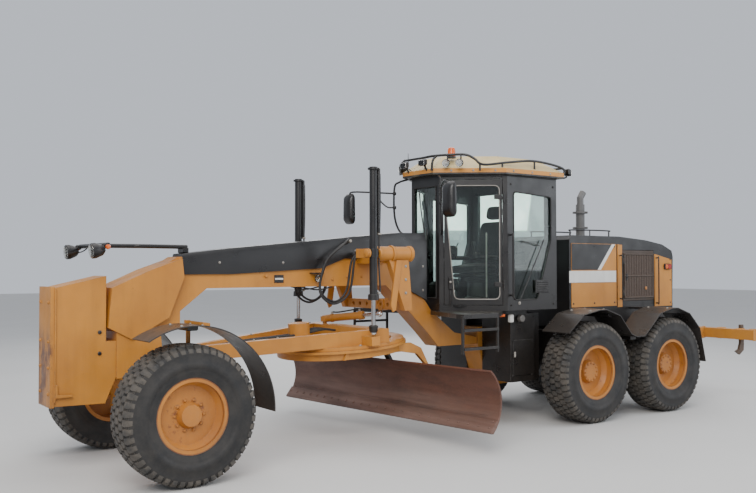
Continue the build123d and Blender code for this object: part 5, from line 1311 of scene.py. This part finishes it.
def rear_wall_details():
    form = Form("black_paint")
    form.use("screen").block(at(REAR_D, 0, GRILLE_Z), (0.012, GRILLE_W, 0.46), 0.003)
    form.use("black_paint")
    for k in range(REAR_SLATS):
        form.block(at(REAR_D + 0.010, 0, 1.52 + SLAT_PITCH * k), (0.016, GRILLE_W, 0.012), 0.004)
    for y in (-0.405, 0.405):
        form.block(at(REAR_D + 0.006, y, GRILLE_Z), (0.022, 0.025, 0.50), 0.005)
    for side in BOTH:
        form.use("black_paint").block(at(REAR_D + 0.012, side * 0.40, TAIL_Z), (0.04, 0.20, 0.10), 0.010)
        for look, y, width in (("red_lens", 0.44, 0.09), ("amber_lens", 0.35, 0.07)):
            form.use(look).block(at(REAR_D + 0.035, side * y, TAIL_Z), (0.010, width, 0.075), 0.004)
    form.use("pale_paint").block(at(REAR_D + 0.008, 0, 1.36), (0.010, 0.30, 0.12), 0.003)
    form.finish("rear_wall_details", "rear_frame", "black_paint")


for hand, side in SIDES:
    door_trim(hand, side)
cab_trim()
rail_and_lamps()
mirrors()
seat_frame()
pad("seat_cushion", CUSHION, 0.10, at(SEAT_D, 0, 1.86), X, Y)
pad("seat_back", BACKREST, 0.09, at(SEAT_D + 0.26, 0, 1.95), Y, BACK_UP)
pad("head_rest", HEAD_REST, 0.07, at(SEAT_D + 0.25, 0, 1.95) + BACK_UP * 0.62, Y, BACK_UP, rise=0.02)
step_boxes()
for hand, side in SIDES:
    fender_bolts(hand, side)
tandem_bolts()
ripper_shanks()
ripper_details()
rear_wall_details()

# Floor and soft studio light
FLOOR_HALF = 60
FLOOR, FLOOR_SHADE = (0.62, 0.61, 0.59), (0.56, 0.55, 0.53)
SKY, SKY_POWER = (0.86, 0.91, 1.0, 1), 0.75


def set_floor():
    mesh = bpy.data.meshes.new("floor")
    corners = [(x * FLOOR_HALF, y * FLOOR_HALF, 0) for x, y in ((-1, -1), (1, -1), (1, 1), (-1, 1))]
    mesh.from_pydata(corners, [], [(0, 1, 2, 3)])
    floor = bpy.data.objects.new("floor", mesh)
    bpy.context.scene.collection.objects.link(floor)
    s = Shader("floor")
    s.set(s.mix(s.noise(0.6, 5), FLOOR, FLOOR_SHADE), 0.85)
    mesh.materials.append(s.material)


def set_world():
    world = bpy.data.worlds.new("studio")
    world.use_nodes = True
    world.node_tree.nodes["Background"].inputs[0].default_value = SKY
    world.node_tree.nodes["Background"].inputs[1].default_value = SKY_POWER
    bpy.context.scene.world = world


def area_light(name, place, target, size, power, colour):
    data = bpy.data.lights.new(name, "AREA")
    data.size = size
    data.energy = power
    data.color = colour
    lamp = bpy.data.objects.new(name, data)
    bpy.context.scene.collection.objects.link(lamp)
    lamp.location = place
    lamp.rotation_euler = (Vector(target) - Vector(place)).to_track_quat("-Z", "Y").to_euler()


set_floor()
set_world()
area_light("key", (9, 9, 9), (0, 0, 1), 8, 1500, (1.0, 0.97, 0.93))
area_light("fill", (-8, 9, 6), (0, 0, 1), 9, 600, (0.92, 0.96, 1.0))
area_light("top", (0, 0, 12), (0, 0, 0), 12, 700, (1, 1, 1))
area_light("back", (-6, -10, 7), (0, 0, 1), 9, 500, (1, 1, 1))
